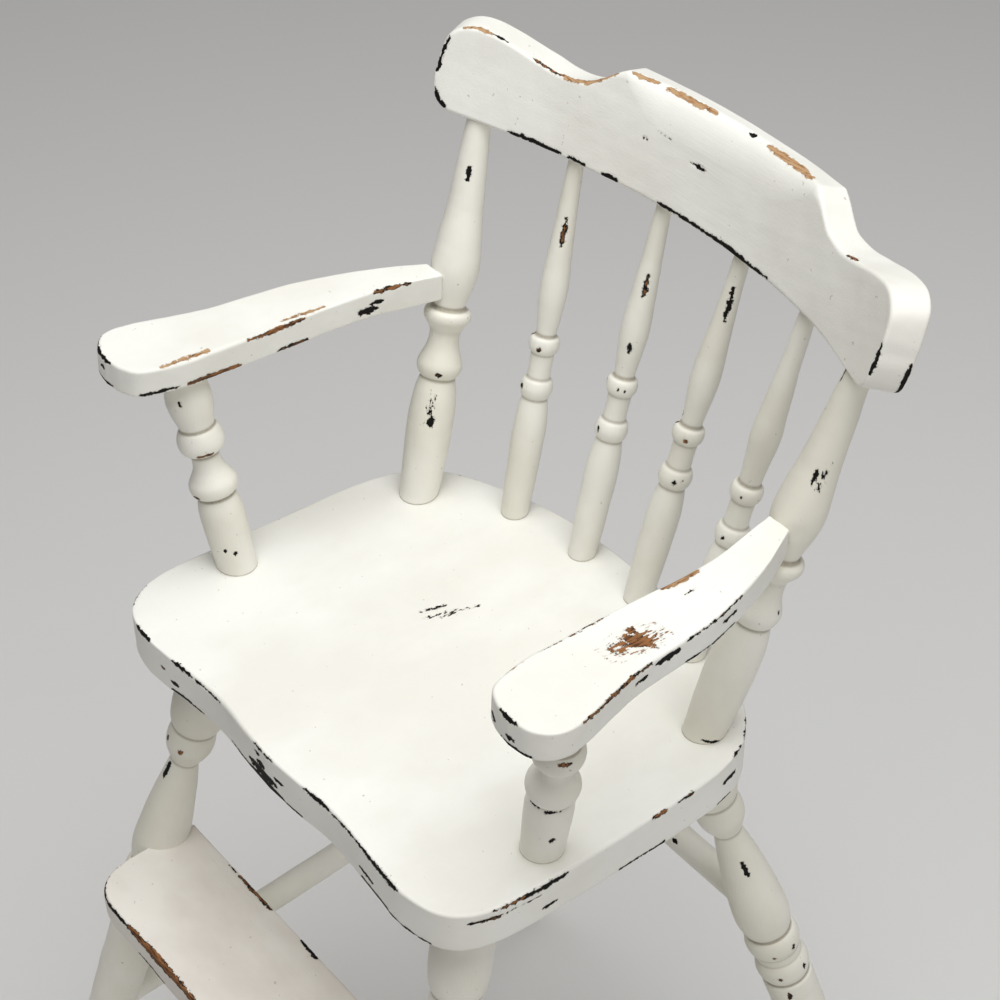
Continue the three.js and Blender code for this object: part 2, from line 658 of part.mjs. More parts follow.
const postAtArm = axisAtHeight(postAxis, armTopZ(0) - ARM_THICKNESS / 2);
const armBackY = postAtArm.y - POST_TURNING[4][3][1] / 2 + 1.4;
const armInnerX = SEAT_HALF_WIDTH - ARM_INNER_FROM_SIDE;
const armBackInnerX = postAtArm.x - ARM_BACK_WIDTH / 2 + 1.5;
const armFrontY = -ARM_FRONT_FROM_DATUM;

// Plan outline of the +x arm: round the paddle, up the outer edge, back along the inner edge.
const outerEdge = [
  [armInnerX + 7, armFrontY + 10],
  [armInnerX + 17, armFrontY + 2.4],
  [armInnerX + 30, armFrontY],
  [armInnerX + 42, armFrontY + 2.4],
  [armInnerX + 50, armFrontY + 9],
  [armInnerX + ARM_PADDLE_WIDTH, armFrontY + 19],
  [armInnerX + ARM_PADDLE_WIDTH - 2, armFrontY + 33],
  [armInnerX + 45, armFrontY + 54],
  [armInnerX + 40, armFrontY + 75],
  [armInnerX + ARM_WAIST_WIDTH + 1.4, armFrontY + 101],
  [armInnerX + ARM_WAIST_WIDTH - 1.6, armFrontY + 124],
  [armInnerX + 28, armFrontY + 148],
  [armInnerX + 18, armFrontY + 175],
];
const armOutline = new THREE.SplineCurve([
  ...outerEdge.map(([x, y]) => new THREE.Vector2(x, y)),
  new THREE.Vector2(armBackInnerX + ARM_BACK_WIDTH, armBackY),
]);
const innerEdge = new THREE.SplineCurve([
  new THREE.Vector2(armBackInnerX, armBackY),
  new THREE.Vector2(armInnerX - 2.2, armBackY - 38),
  new THREE.Vector2(armInnerX, armBackY - 72),
  new THREE.Vector2(armInnerX, armFrontY + 92),
  new THREE.Vector2(armInnerX + 0.6, armFrontY + 54),
  new THREE.Vector2(armInnerX + 1.6, armFrontY + 32),
  new THREE.Vector2(armInnerX + 7, armFrontY + 10),
]);
const armShape = new THREE.Shape([...armOutline.getPoints(30), ...innerEdge.getPoints(12).slice(0, -1)]);

function armBoard() {
  const flat = boardGeometry(armShape, ARM_THICKNESS, ARM_EDGE_EASE);
  return solid(flat.rotateX(-Math.atan(ARM_PITCH)).translate(0, 0, armTopZ(0)));
}

// The arm's round tenon runs level with the arm into the post.
const armMiddle = (y) => armTopZ(y) - ARM_THICKNESS / 2;
const armTenonAxis = axisThrough(
  V(postAtArm.x, postAtArm.y - 30, armMiddle(postAtArm.y - 30)),
  V(postAtArm.x, postAtArm.y, armMiddle(postAtArm.y)),
);
const armTenonTip = 30 - POST_TURNING[4][3][1] / 2 + ARM_TENON_DEPTH;

const postClearance = standingTurning(POST_TURNING, POST_TOP_DIAMETER, postAxis, GLUE_GAP, 0);
const supportSocket = rod(
  supportAxis,
  supportAxis.length - 8,
  supportAxis.length + SUPPORT_TENON_DEPTH + GLUE_GAP,
  SUPPORT_TENON_DIAMETER + 2 * GLUE_GAP,
);
const rightArm = join(
  cut(armBoard(), postClearance, supportSocket),
  rod(armTenonAxis, 4, armTenonTip, ARM_TENON_DIAMETER),
);
const armTenonHole = rod(
  armTenonAxis,
  4,
  armTenonTip + GLUE_GAP,
  ARM_TENON_DIAMETER + 2 * GLUE_GAP,
);
placePair("arm", rightArm, PAINT);

// ---------------------------------------------------------------- posts, spindles, supports, legs

const rightPost = cut(standingTurning(POST_TURNING, POST_TOP_DIAMETER, postAxis), armTenonHole);
placePair("back_post", rightPost, TURNED_PAINT);

const spindleAxes = [
  mirroredAxis(outerSpindleAxis),
  mirroredAxis(innerSpindleAxis),
  innerSpindleAxis,
  outerSpindleAxis,
];
spindleAxes.forEach((axis, index) => {
  const body = standingTurning(SPINDLE_TURNING, SPINDLE_TOP_DIAMETER, axis);
  place(`back_spindle_${index + 1}`, body, TURNED_PAINT);
});

place("arm_support_right", supportTurning(supportAxis, RIGHT_SUPPORT_LIFT), TURNED_PAINT);
place("arm_support_left", supportTurning(mirroredAxis(supportAxis), 0), TURNED_PAINT);

const rightFrontLeg = cut(legTurning(frontLegAxis), sideStretcher.holes, rightDowel.hole);
placePair("leg_front", rightFrontLeg, TURNED_PAINT);

const rightRearLeg = cut(legTurning(rearLegAxis), sideStretcher.holes, rearStretcher.holes);
placePair("leg_rear", rightRearLeg, TURNED_PAINT);

placePair("side_stretcher", sideStretcher.body, TURNED_PAINT);
place("rear_stretcher", rearStretcher.body, TURNED_PAINT);

// ---------------------------------------------------------------- centre the chair over the origin

const box = new THREE.Box3().setFromObject(group);
const middleY = (box.min.y + box.max.y) / 2;
group.children.forEach((mesh) => mesh.geometry.translate(0, -middleY, 0));

export default group;
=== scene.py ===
# %% [markdown]
# # A painted spindle-back high chair
# The chair is a small farmhouse high chair: a shaped seat, a bent crest rail on two posts and
# four spindles, two arms on short turned supports, four splayed turned legs, a footrest and
# three round stretchers. It was painted off-white over a dark undercoat and then rubbed
# through on its edges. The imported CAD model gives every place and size. This notebook builds
# each part again as a fine surface with softened edges, dents and worn paint.

import math

import bpy
import numpy as np
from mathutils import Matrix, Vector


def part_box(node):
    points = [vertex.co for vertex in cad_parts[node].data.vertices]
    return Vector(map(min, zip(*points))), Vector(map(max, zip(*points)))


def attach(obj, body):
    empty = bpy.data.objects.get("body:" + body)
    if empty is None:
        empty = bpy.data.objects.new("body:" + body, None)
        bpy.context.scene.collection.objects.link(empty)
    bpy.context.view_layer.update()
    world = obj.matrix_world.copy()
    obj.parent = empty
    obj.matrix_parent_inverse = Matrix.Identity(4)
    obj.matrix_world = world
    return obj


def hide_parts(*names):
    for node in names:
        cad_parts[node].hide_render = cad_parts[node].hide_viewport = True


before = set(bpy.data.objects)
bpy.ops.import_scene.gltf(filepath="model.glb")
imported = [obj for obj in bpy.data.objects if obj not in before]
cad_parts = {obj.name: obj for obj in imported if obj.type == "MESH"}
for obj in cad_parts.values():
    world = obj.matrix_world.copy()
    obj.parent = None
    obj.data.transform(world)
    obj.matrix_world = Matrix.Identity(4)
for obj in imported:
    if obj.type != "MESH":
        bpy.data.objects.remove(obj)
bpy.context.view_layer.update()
print("packed nodes:", len(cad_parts))

# %% [markdown]
# ## The camera and the light
# A long lens from above the front right corner sees the seat, the face of the back and one
# side at once. A wide soft light hangs over the chair, so tops are bright, upright faces are
# in half shade, and what sits under a board is dark. It leans a little toward the camera's
# side. The floor is plain and pale.

# %% Camera
camera_data = bpy.data.cameras.new("camera")
camera_data.lens = 89.3
camera_data.sensor_width = 36.0
camera_data.clip_end = 50.0
camera = bpy.data.objects.new("camera", camera_data)
camera.location = (0.82247, -0.61654, 1.51004)
camera.rotation_euler = (math.radians(50.783), 0.0, math.radians(51.915))
bpy.context.scene.collection.objects.link(camera)
bpy.context.scene.camera = camera
print("camera height:", camera.location.z)


# %% Light and floor
def soft_light(name, place, target, size, power, colour):
    """A square area light at place that faces target; its size sets how soft the shadows are."""
    lamp = bpy.data.lights.new(name, "AREA")
    lamp.size = size
    lamp.energy = power
    lamp.color = colour
    holder = bpy.data.objects.new(name, lamp)
    holder.location = place
    facing = holder.location - type(holder.location)(target)
    holder.rotation_euler = facing.to_track_quat("Z", "Y").to_euler()
    bpy.context.scene.collection.objects.link(holder)
    return holder


soft_light("overhead", (0.35, -0.15, 2.9), (0.0, 0.0, 0.5), 2.2, 66.0, (1.0, 1.0, 0.99))
soft_light("side_fill", (3.0, -0.5, 1.5), (0.0, 0.0, 0.6), 1.6, 15.0, (1.0, 0.985, 0.97))

sky = bpy.data.worlds.new("room")
sky.use_nodes = True
sky.node_tree.nodes["Background"].inputs["Color"].default_value = (1.0, 0.955, 0.90, 1.0)
sky.node_tree.nodes["Background"].inputs["Strength"].default_value = 0.15
bpy.context.scene.world = sky
bpy.context.scene.view_settings.view_transform = "Standard"

floor_mesh = bpy.data.meshes.new("floor")
floor_mesh.from_pydata([(-6, -6, 0), (6, -6, 0), (6, 6, 0), (-6, 6, 0)], [], [(0, 1, 2, 3)])
floor = bpy.data.objects.new("floor", floor_mesh)
bpy.context.scene.collection.objects.link(floor)
floor_finish = bpy.data.materials.new("floor")
floor_finish.use_nodes = True
floor_shader = floor_finish.node_tree.nodes["Principled BSDF"]
floor_shader.inputs["Base Color"].default_value = (0.78, 0.78, 0.78, 1.0)
floor_shader.inputs["Roughness"].default_value = 0.75
floor_mesh.materials.append(floor_finish)

# %% [markdown]
# ## Lines everything is set out from
# The maker works in millimetres from two datums: the floor, and a line across the seat. The
# seat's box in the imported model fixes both. Every turned piece has an axis, which is a start
# point and a direction, as on the drawing.

# %% Datums and axes
MM = 0.001
seat_low, seat_high = (np.array(corner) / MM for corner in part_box("seat"))
SEAT_TOP = seat_high[2]
SEAT_UNDER = seat_low[2]
HALF_WIDTH = seat_high[0]
SEAT_BACK = 81.7
SEAT_FRONT = 176.0
DATUM_Y = seat_high[1] - SEAT_BACK


def axis_between(start, end):
    """Start point, unit direction and length of the line from start to end."""
    start, end = np.array(start, float), np.array(end, float)
    length = np.linalg.norm(end - start)
    return start, (end - start) / length, length


def mirrored_axis(axis):
    """The same line on the other side of the chair."""
    flip = np.array([-1.0, 1.0, 1.0])
    return axis[0] * flip, axis[1] * flip, axis[2]


def on_axis_at(axis, height):
    """Where an axis passes a height above the floor."""
    start, direction, _ = axis
    return start + direction * (height - start[2]) / direction[2]


CREST_RADIUS = 330.0
CREST_LEAN = math.radians(20)
CREST_THICKNESS = 20.0
CREST_HALF = 186.0
CREST_FACE_Y = 111.0  # how far behind the datum line the face is, where s and h are 0
CREST_RISE = 205.0  # how far above the seat that place is


def crest_place(s, depth, h):
    """A point of the bent crest: s runs along its front face, which is an arc of CREST_RADIUS
    in the board's own plane; depth goes from the face to the back; h goes up the leaning face."""
    angle = s / CREST_RADIUS
    x = (CREST_RADIUS + depth) * np.sin(angle)
    back = (CREST_RADIUS + depth) * np.cos(angle) - CREST_RADIUS
    y = CREST_FACE_Y + back * math.cos(CREST_LEAN) + h * math.sin(CREST_LEAN)
    z = SEAT_TOP + CREST_RISE - back * math.sin(CREST_LEAN) + h * math.cos(CREST_LEAN)
    return np.stack([x, y, z], -1)


def crest_underside(s):
    """h of the crest's lower edge: 15.6 at the middle, less 3.2 times (s / 163) squared."""
    return 15.6 - 3.2 * (s / 163.0) ** 2


def standing_axis(x, y, s):
    """From a foot on the seat to the underside of the crest."""
    top = crest_place(s, CREST_THICKNESS / 2, crest_underside(s))
    return axis_between((x, y, SEAT_TOP), top)


post_axis = standing_axis(HALF_WIDTH - 34.0, SEAT_BACK - 58.3, CREST_HALF - 31.0)
outer_spindle_axis = standing_axis(HALF_WIDTH - 84.2, SEAT_BACK - 23.6, 92.6)
inner_spindle_axis = standing_axis(25.3, SEAT_BACK - 16.1, 30.9)


def leg_axis(x, y, splay_x, splay_y):
    """From the seat's underside to the floor, leaning outward by the splay for each mm down."""
    drop = SEAT_UNDER
    return axis_between((x, y, SEAT_UNDER), (x + splay_x * drop, y + splay_y * drop, 0.0))


front_leg_axis = leg_axis(HALF_WIDTH - 44.3, 47.1 - SEAT_FRONT, 0.144, -0.265)
rear_leg_axis = leg_axis(HALF_WIDTH - 71.4, SEAT_BACK - 41.8, 0.226, 0.268)

ARM_PITCH = 0.037
ARM_THICKNESS = 17.5
ARM_RISE = 145.0  # the top face above the seat, where it crosses the datum line


def arm_top(y):
    """Height of the arm's top face, which rises a little toward the front."""
    return SEAT_TOP + ARM_RISE - ARM_PITCH * y


support_foot = np.array([HALF_WIDTH - 21.3, 76.0 - SEAT_FRONT, SEAT_TOP])
support_lean = np.array([0.219, -0.07, 1.0])
support_lean /= np.linalg.norm(support_lean)
support_rise = arm_top(support_foot[1]) - ARM_THICKNESS - SEAT_TOP
support_length = support_rise / (support_lean[2] + ARM_PITCH * support_lean[1])
support_axis = (support_foot, support_lean, support_length)
print("post length: %.0f mm, leg length: %.0f mm" % (post_axis[2], front_leg_axis[2]))

# %% [markdown]
# ## Worn paint
# The paint is rubbed through where hands, feet and table edges met it: long thin lines along
# the sharp edges, blots on the turnings, streaks where something scraped along the grain.
# A worn place is a short path on the surface with a half width, a share of raw wood (0 is the
# dark undercoat, 1 is bare beech) and a firmness. Every point of a piece keeps how deep it
# lies inside its nearest worn place, as one number in millimetres. Where that number is
# positive the surface is cut back a little, and the paint breaks its border up with the grain.
# The plainest places are listed for each piece, and a seeded draw adds the rest.


# %% Helpers for wear and waviness
def ripple(points, wavelength, seed, waves=9):
    """Sum of sine waves of about one wavelength running in random directions, scaled so that
    the result is mostly between -1 and 1."""
    draw = np.random.default_rng(seed)
    total = np.zeros(points.shape[:-1])
    for _ in range(waves):
        direction = draw.normal(size=3)
        direction *= 2 * math.pi / (wavelength * draw.uniform(0.7, 1.4)) / np.linalg.norm(direction)
        total += np.sin(points @ direction + draw.uniform(0, 2 * math.pi))
    return total / math.sqrt(waves)


FIRM = 0.75  # from this firmness up, a worn place has one whole middle
FAINT = 0.62  # a worn place of this firmness is only just there
REACH = 9.0  # mm, past which a worn place changes nothing
SWELL = 0.25  # mm added all round a worn place, where the paint has lifted


def wear_depth(points, worn):
    """For each point, the largest of (half width minus distance to a worn path), tapered to
    the path's ends, with that path's raw-wood share and looseness (1 - firmness). A path that
    isn't firm is spread wider and kept near zero, so that only the grain's peaks show in it."""
    depth = np.full(len(points), -REACH)
    raw = np.zeros(len(points))
    loose = np.zeros(len(points))
    for path, half_width, bare, firm in worn:
        inside = (points > path.min(0) - REACH) & (points < path.max(0) + REACH)
        near = np.flatnonzero(inside.all(1))
        gap = np.linalg.norm(points[near, None] - path[None], axis=2)
        if not gap.size:
            continue
        share = gap.argmin(1) / max(len(path) - 1, 1)
        away = gap.min(1)
        if firm >= FIRM:
            value = half_width * (0.6 + 0.4 * np.sin(math.pi * share)) + SWELL - away
        else:
            value = 1.3 * (firm - FAINT) - 0.45 * away / (0.6 + half_width)
        deeper = value > depth[near]
        raw[near] = np.where(deeper, bare, raw[near])
        loose[near] = np.where(deeper, 1.0 - firm, loose[near])
        depth[near] = np.maximum(depth[near], value)
    return depth, raw, loose


def smooth_step(value, low, high):
    """0 below low, 1 above high, and an S curve between."""
    share = np.clip((value - low) / (high - low), 0.0, 1.0)
    return share * share * (3 - 2 * share)


# %% [markdown]
# ## From rings to a closed skin
# Every part is a stack of rings: a turning has a ring for each station of its length, and a
# board has rings that shrink from its outline toward its middle, on the face and on the back.
# Neighbouring rings are joined by four-sided faces. A turning is closed by a point at each
# end. A board's last ring is long and narrow, so it is closed by rungs, like a ladder.

# %% Skin
RECESS = 0.32  # mm, how far worn places lie below the paint
WAVE = 0.12  # mm, hand-sanded waviness


def outward(rings):
    """Unit normals of a stack of rings, from the cross product of its two directions, pointing
    out of the closed shape, and whether the stack had to be turned round for that."""
    across = np.roll(rings, -1, axis=1) - np.roll(rings, 1, axis=1)
    along = np.gradient(rings, axis=0)
    normal = np.cross(across, along)
    normal /= np.maximum(np.linalg.norm(normal, axis=2, keepdims=True), 1e-9)
    volume = (rings * np.cross(across, along)).sum()
    return (normal, False) if volume > 0 else (-normal, True)


def ladder(first, count, turned_round):
    """Rungs across one ring of count points, which start at index first."""
    j = np.arange(count // 2)
    rungs = np.stack([j, j + 1, count - j - 1, (count - j) % count], 1) + first
    rungs = [list(dict.fromkeys(face)) for face in rungs.tolist()]
    return [face[::-1] for face in rungs] if turned_round else rungs


def skin(name, rings, finish, node, worn=(), rub=0.0, crease=0.0, ends="points"):
    """Makes the piece: waviness and worn recesses are added along the normals, then the rings
    become one closed mesh with the numbers that the paint reads."""
    shape = rings.shape[:2]
    normal, reverse = outward(rings)
    flat = rings.reshape(-1, 3)
    depth, raw, loose = wear_depth(flat, worn)
    recess = RECESS * smooth_step(depth, -0.3, 0.7)
    wavy = WAVE * (ripple(flat, 34.0, 5) + 0.35 * ripple(flat, 9.0, 6))
    flat = flat + normal.reshape(-1, 3) * (wavy - recess)[:, None]
    flat = flat + np.array([0.0, DATUM_Y, 0.0])
    flat[:, 2] = np.maximum(flat[:, 2], 0.0)
    count = shape[1]
    i, j = np.meshgrid(np.arange(shape[0] - 1), np.arange(count), indexing="ij")
    corners = [i * count + j, i * count + (j + 1) % count]
    corners += [(i + 1) * count + (j + 1) % count, (i + 1) * count + j]
    quads = np.stack(corners, -1).reshape(-1, 4)
    faces = (quads[:, ::-1] if reverse else quads).tolist()
    last = (shape[0] - 1) * count
    numbers = {
        "wear": depth,
        "bare": raw,
        "loose": loose,
        "rub": np.broadcast_to(rub, shape).reshape(-1),
        "crease": np.broadcast_to(crease, shape).reshape(-1),
    }
    if ends == "points":
        tips = np.stack([flat[:count].mean(0), flat[last:].mean(0)])
        k = np.arange(count)
        for tip, first, turn in ((0, 0, not reverse), (1, last, reverse)):
            fan = np.stack([k + first, (k + 1) % count + first, np.full(count, len(flat) + tip)], 1)
            faces += (fan[:, ::-1] if turn else fan).tolist()
        flat = np.vstack([flat, tips])
        numbers = {key: np.append(value, [value[0], value[-1]]) for key, value in numbers.items()}
    else:
        faces += ladder(0, count, not reverse) + ladder(last, count, reverse)
    mesh = bpy.data.meshes.new(name)
    mesh.from_pydata((flat * MM).tolist(), [], faces)
    for key, value in numbers.items():
        layer = mesh.attributes.new(key, "FLOAT", "POINT")
        layer.data.foreach_set("value", value.astype(np.float32))
    mesh.shade_smooth()
    mesh.materials.append(finish)
    piece = bpy.data.objects.new(name, mesh)
    bpy.context.scene.collection.objects.link(piece)
    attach(piece, "root")
    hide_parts(node)
    print(name, "faces:", len(mesh.polygons))
    return piece


# %% [markdown]
# ## The paint
# One recipe makes every finish: off-white paint with faint clouds, brush lines along the
# grain and small pits; a dark undercoat in the worn places; and raw beech in the deepest.
# The pattern runs along the grain, so the recipe is told which way the grain lies. A number
# that travels along a wire of the shader is wrapped in a small class, and sums on it add
# Math nodes.


# %% Wires
class Wire:
    """A value that travels through a material. Arithmetic on it adds Math nodes."""

    def __init__(self, tree, socket):
        self.tree = tree
        self.socket = socket

    @classmethod
    def node(cls, tree, kind, settings=None, inputs=None, output=0):
        """Adds any node. Its settings come first, then each input gets a value or a wire."""
        made = tree.nodes.new(kind)
        for key, value in (settings or {}).items():
            setattr(made, key, value)
        for key, value in (inputs or {}).items():
            if isinstance(value, Wire):
                tree.links.new(value.socket, made.inputs[key])
            else:
                made.inputs[key].default_value = value
        return None if output is None else cls(tree, made.outputs[output])

    def math(self, operation, first, second):
        return Wire.node(self.tree, "ShaderNodeMath", {"operation": operation}, {0: first, 1: second})

    def __add__(self, other):
        return self.math("ADD", self, other)

    __radd__ = __add__

    def __sub__(self, other):
        return self.math("SUBTRACT", self, other)

    def __rsub__(self, other):
        return self.math("SUBTRACT", other, self)

    def __mul__(self, other):
        return self.math("MULTIPLY", self, other)

    __rmul__ = __mul__

    def larger(self, other):
        return self.math("MAXIMUM", self, other)

    def step(self, low, high):
        """0 at low, 1 at high, an S curve between."""
        settings = {"interpolation_type": "SMOOTHSTEP"}
        inputs = {"Value": self, "From Min": low, "From Max": high}
        return Wire.node(self.tree, "ShaderNodeMapRange", settings, inputs)


# %% Paint recipe
BROWN_DARK = (0.060, 0.026, 0.012, 1.0)
BROWN_LIGHT = (0.30, 0.130, 0.048, 1.0)
TAN = (0.49, 0.32, 0.175, 1.0)
UNDERCOAT = (0.004, 0.0035, 0.003, 1.0)
GRIME = (0.36, 0.325, 0.25, 1.0)
# Noise moves the border of worn paint over a range in mm. The grain's range is GRAIN_FIRM, plus
# GRAIN_LOOSE times how loose the worn place is. Round blobs and fine crumbs have their own.
GRAIN_FIRM = 1.5
GRAIN_LOOSE = 16.0
BLOBS = 3.6
CRUMBS = 1.6


def mixed(tree, share, first, second):
    """A colour between two colours."""
    settings = {"data_type": "RGBA"}
    return Wire.node(tree, "ShaderNodeMix", settings, {0: share, 6: first, 7: second}, output=2)


def painted(name, light, shade, grain, nicks=0.0):
    """Off-white paint over a dark undercoat over beech. grain is 0, 1 or 2, the axis that the
    brush and the wood run along. nicks sets how much the edges are rubbed at random."""
    finish = bpy.data.materials.new(name)
    finish.use_nodes = True
    tree = finish.node_tree
    tree.nodes.clear()
    place = Wire.node(tree, "ShaderNodeTexCoord", output="Object")

    def noise(size_mm, stretch=1.0, detail=4.0, roughness=0.55, offset=0.0):
        """Noise with features of a size in mm, stretched along the grain."""
        scale = [1.0, 1.0, 1.0]
        scale[grain] = 1.0 / stretch
        inputs = {0: place, 1: scale, 2: (offset, offset, offset)}
        where = Wire.node(tree, "ShaderNodeVectorMath", {"operation": "MULTIPLY_ADD"}, inputs)
        inputs = {"Vector": where, "Scale": 1000.0 / size_mm, "Detail": detail}
        inputs["Roughness"] = roughness
        return Wire.node(tree, "ShaderNodeTexNoise", None, inputs)

    def reading(key):
        return Wire.node(tree, "ShaderNodeAttribute", {"attribute_name": key}, output="Fac")

    streak = noise(1.3, stretch=6.0, detail=5.0, roughness=0.6)
    crumb = noise(0.9, detail=3.0, offset=3.1)
    blob = noise(3.4, detail=2.0, offset=6.6)
    patch = noise(9.0, stretch=2.5, detail=3.0, offset=7.7)
    cloud = noise(70.0, stretch=1.5, detail=4.0, offset=1.3)

    ragged = reading("wear") + (streak - 0.5) * (reading("loose") * GRAIN_LOOSE + GRAIN_FIRM)
    ragged = ragged + (blob - 0.5) * BLOBS + (crumb - 0.5) * CRUMBS
    rub = reading("rub")
    nicked = rub * 0.9 + (patch - 0.5) * 5.0 + (streak - 0.5) * 1.6 - (2.05 - nicks)
    worn = ragged.step(-0.08, 0.12).larger(nicked.step(0.0, 0.12))
    border = ragged.step(-0.9, 0.0).larger(nicked.step(-0.35, 0.0))

    bare = reading("bare")
    raw = bare * 1.3 + (streak - 0.5) * 2.2 + ragged.step(0.0, 1.2) * 0.7 - 1.05
    wood = mixed(tree, streak.step(0.36, 0.62), BROWN_DARK, BROWN_LIGHT)
    scoured = mixed(tree, streak.step(0.34, 0.58), BROWN_LIGHT, TAN)
    wood = mixed(tree, bare.step(0.86, 1.0), wood, scoured)
    under = mixed(tree, raw.step(0.0, 0.22), UNDERCOAT, wood)

    speck = noise(3.2, detail=2.0, roughness=0.4, offset=9.2).step(0.735, 0.78)
    dirt = reading("crease").step(0.15, 1.0) * (crumb * 0.7 + 0.45)
    coat = mixed(tree, cloud.step(0.36, 0.66), light, shade)
    coat = mixed(tree, dirt.larger(speck * 0.5), coat, GRIME)
    coat = mixed(tree, border * 0.3, coat, GRIME)
    colour = mixed(tree, worn, coat, under)

    brush = noise(0.9, stretch=30.0, detail=4.0, roughness=0.6, offset=5.5)
    peel = noise(2.2, detail=3.0, offset=2.4)
    height = brush * 0.16 + peel * 0.07 + (streak * 0.16 - 0.28) * worn - border * 0.03
    bump = Wire.node(
        tree, "ShaderNodeBump", None, {"Strength": 0.7, "Distance": MM, "Height": height}, "Normal"
    )
    rough = 0.47 + (cloud - 0.5) * 0.25 + worn * 0.25
    inputs = {"Base Color": colour, "Roughness": rough, "Normal": bump, "Specular IOR Level": 0.2}
    shader = Wire.node(tree, "ShaderNodeBsdfPrincipled", None, inputs)
    Wire.node(tree, "ShaderNodeOutputMaterial", None, {"Surface": shader}, output=None)
    return finish


# %% [markdown]
# ## Four finishes
# The boards were brushed along their length, so the seat and arms have grain along y, and the
# crest and footrest along x. The turnings were painted on the lathe's axis, a shade creamier.
# The footrest's paint is darker and pinker than the rest's: partly a duller paint of its own,
# partly painted shade for the seat's shadow that falls on it. Shoes rub its edges a little more.

# %% Finishes
board_light, board_shade = (0.885, 0.885, 0.845, 1.0), (0.82, 0.812, 0.755, 1.0)
turned_light, turned_shade = (0.88, 0.868, 0.80, 1.0), (0.80, 0.78, 0.69, 1.0)
paint_long = painted("paint_on_boards_long", board_light, board_shade, grain=1)
paint_wide = painted("paint_on_boards_wide", board_light, board_shade, grain=0)
paint_turned = painted("paint_on_turnings", turned_light, turned_shade, grain=2)
# darker, pinker footrest colours: part duller paint, part painted shade of the seat's shadow on it
footrest_paint_with_painted_shade = painted(
    "paint_on_footrest", (0.84, 0.81, 0.755, 1.0), (0.72, 0.67, 0.62, 1.0), grain=0, nicks=0.1
)
print("paints:", [m.name for m in bpy.data.materials if m.name.startswith("paint")])

# %% [markdown]
# ## Boards
# The seat, crest, arms and footrest are all sawn boards with softened edges. A board could be
# an extruded outline with a bevel, but a hand-sanded edge isn't the same all the way round, so
# each is laid out in its own flat coordinates, as rings that shrink from the outline toward a
# middle line. The edge is a quarter round whose radius wanders. A last function lays the flat
# board in its place: the seat level, the arms tilted, the crest bent and leaning.


# %% Curves for outlines
def smooth_curve(points, steps=24):
    """Cubic curve through the points. At each point its slope is half the way from the point
    before to the point after (Catmull-Rom)."""
    p = np.array(points, float)
    p = np.vstack([p[:1], p, p[-1:]])
    t = np.linspace(0, 1, steps, endpoint=False)[None, :, None]
    before, here, there, after = (p[k : len(p) - 3 + k, None] for k in range(4))
    leave, arrive = (there - before) / 2, (after - here) / 2
    spans = here + leave * t + (3 * (there - here) - 2 * leave - arrive) * t**2
    spans = spans + (2 * (here - there) + leave + arrive) * t**3
    return np.vstack([spans.reshape(-1, p.shape[1]), p[-1:]])


def even(points, count):
    """count + 1 points at equal distances along a line of points."""
    at = np.append(0, np.cumsum(np.linalg.norm(np.diff(points, axis=0), axis=1)))
    share = np.linspace(0, at[-1], count + 1)
    return np.stack([np.interp(share, at, points[:, k]) for k in range(points.shape[1])], -1)


def mirrored_pair(half):
    """A line of points that runs out from x = 0, and its mirror image before it."""
    half = np.array(half, float)
    return np.vstack([half[::-1] * [-1, 1], half[1:]])


# %% Board surface
EDGE = 1.8  # mm, usual radius of a softened edge
SPINE = 0.8  # length of the middle line, as a share of the board's
ARC_RINGS = 7
SOFTEN = 12  # passes of averaging that keep the edge from bunching up at corners


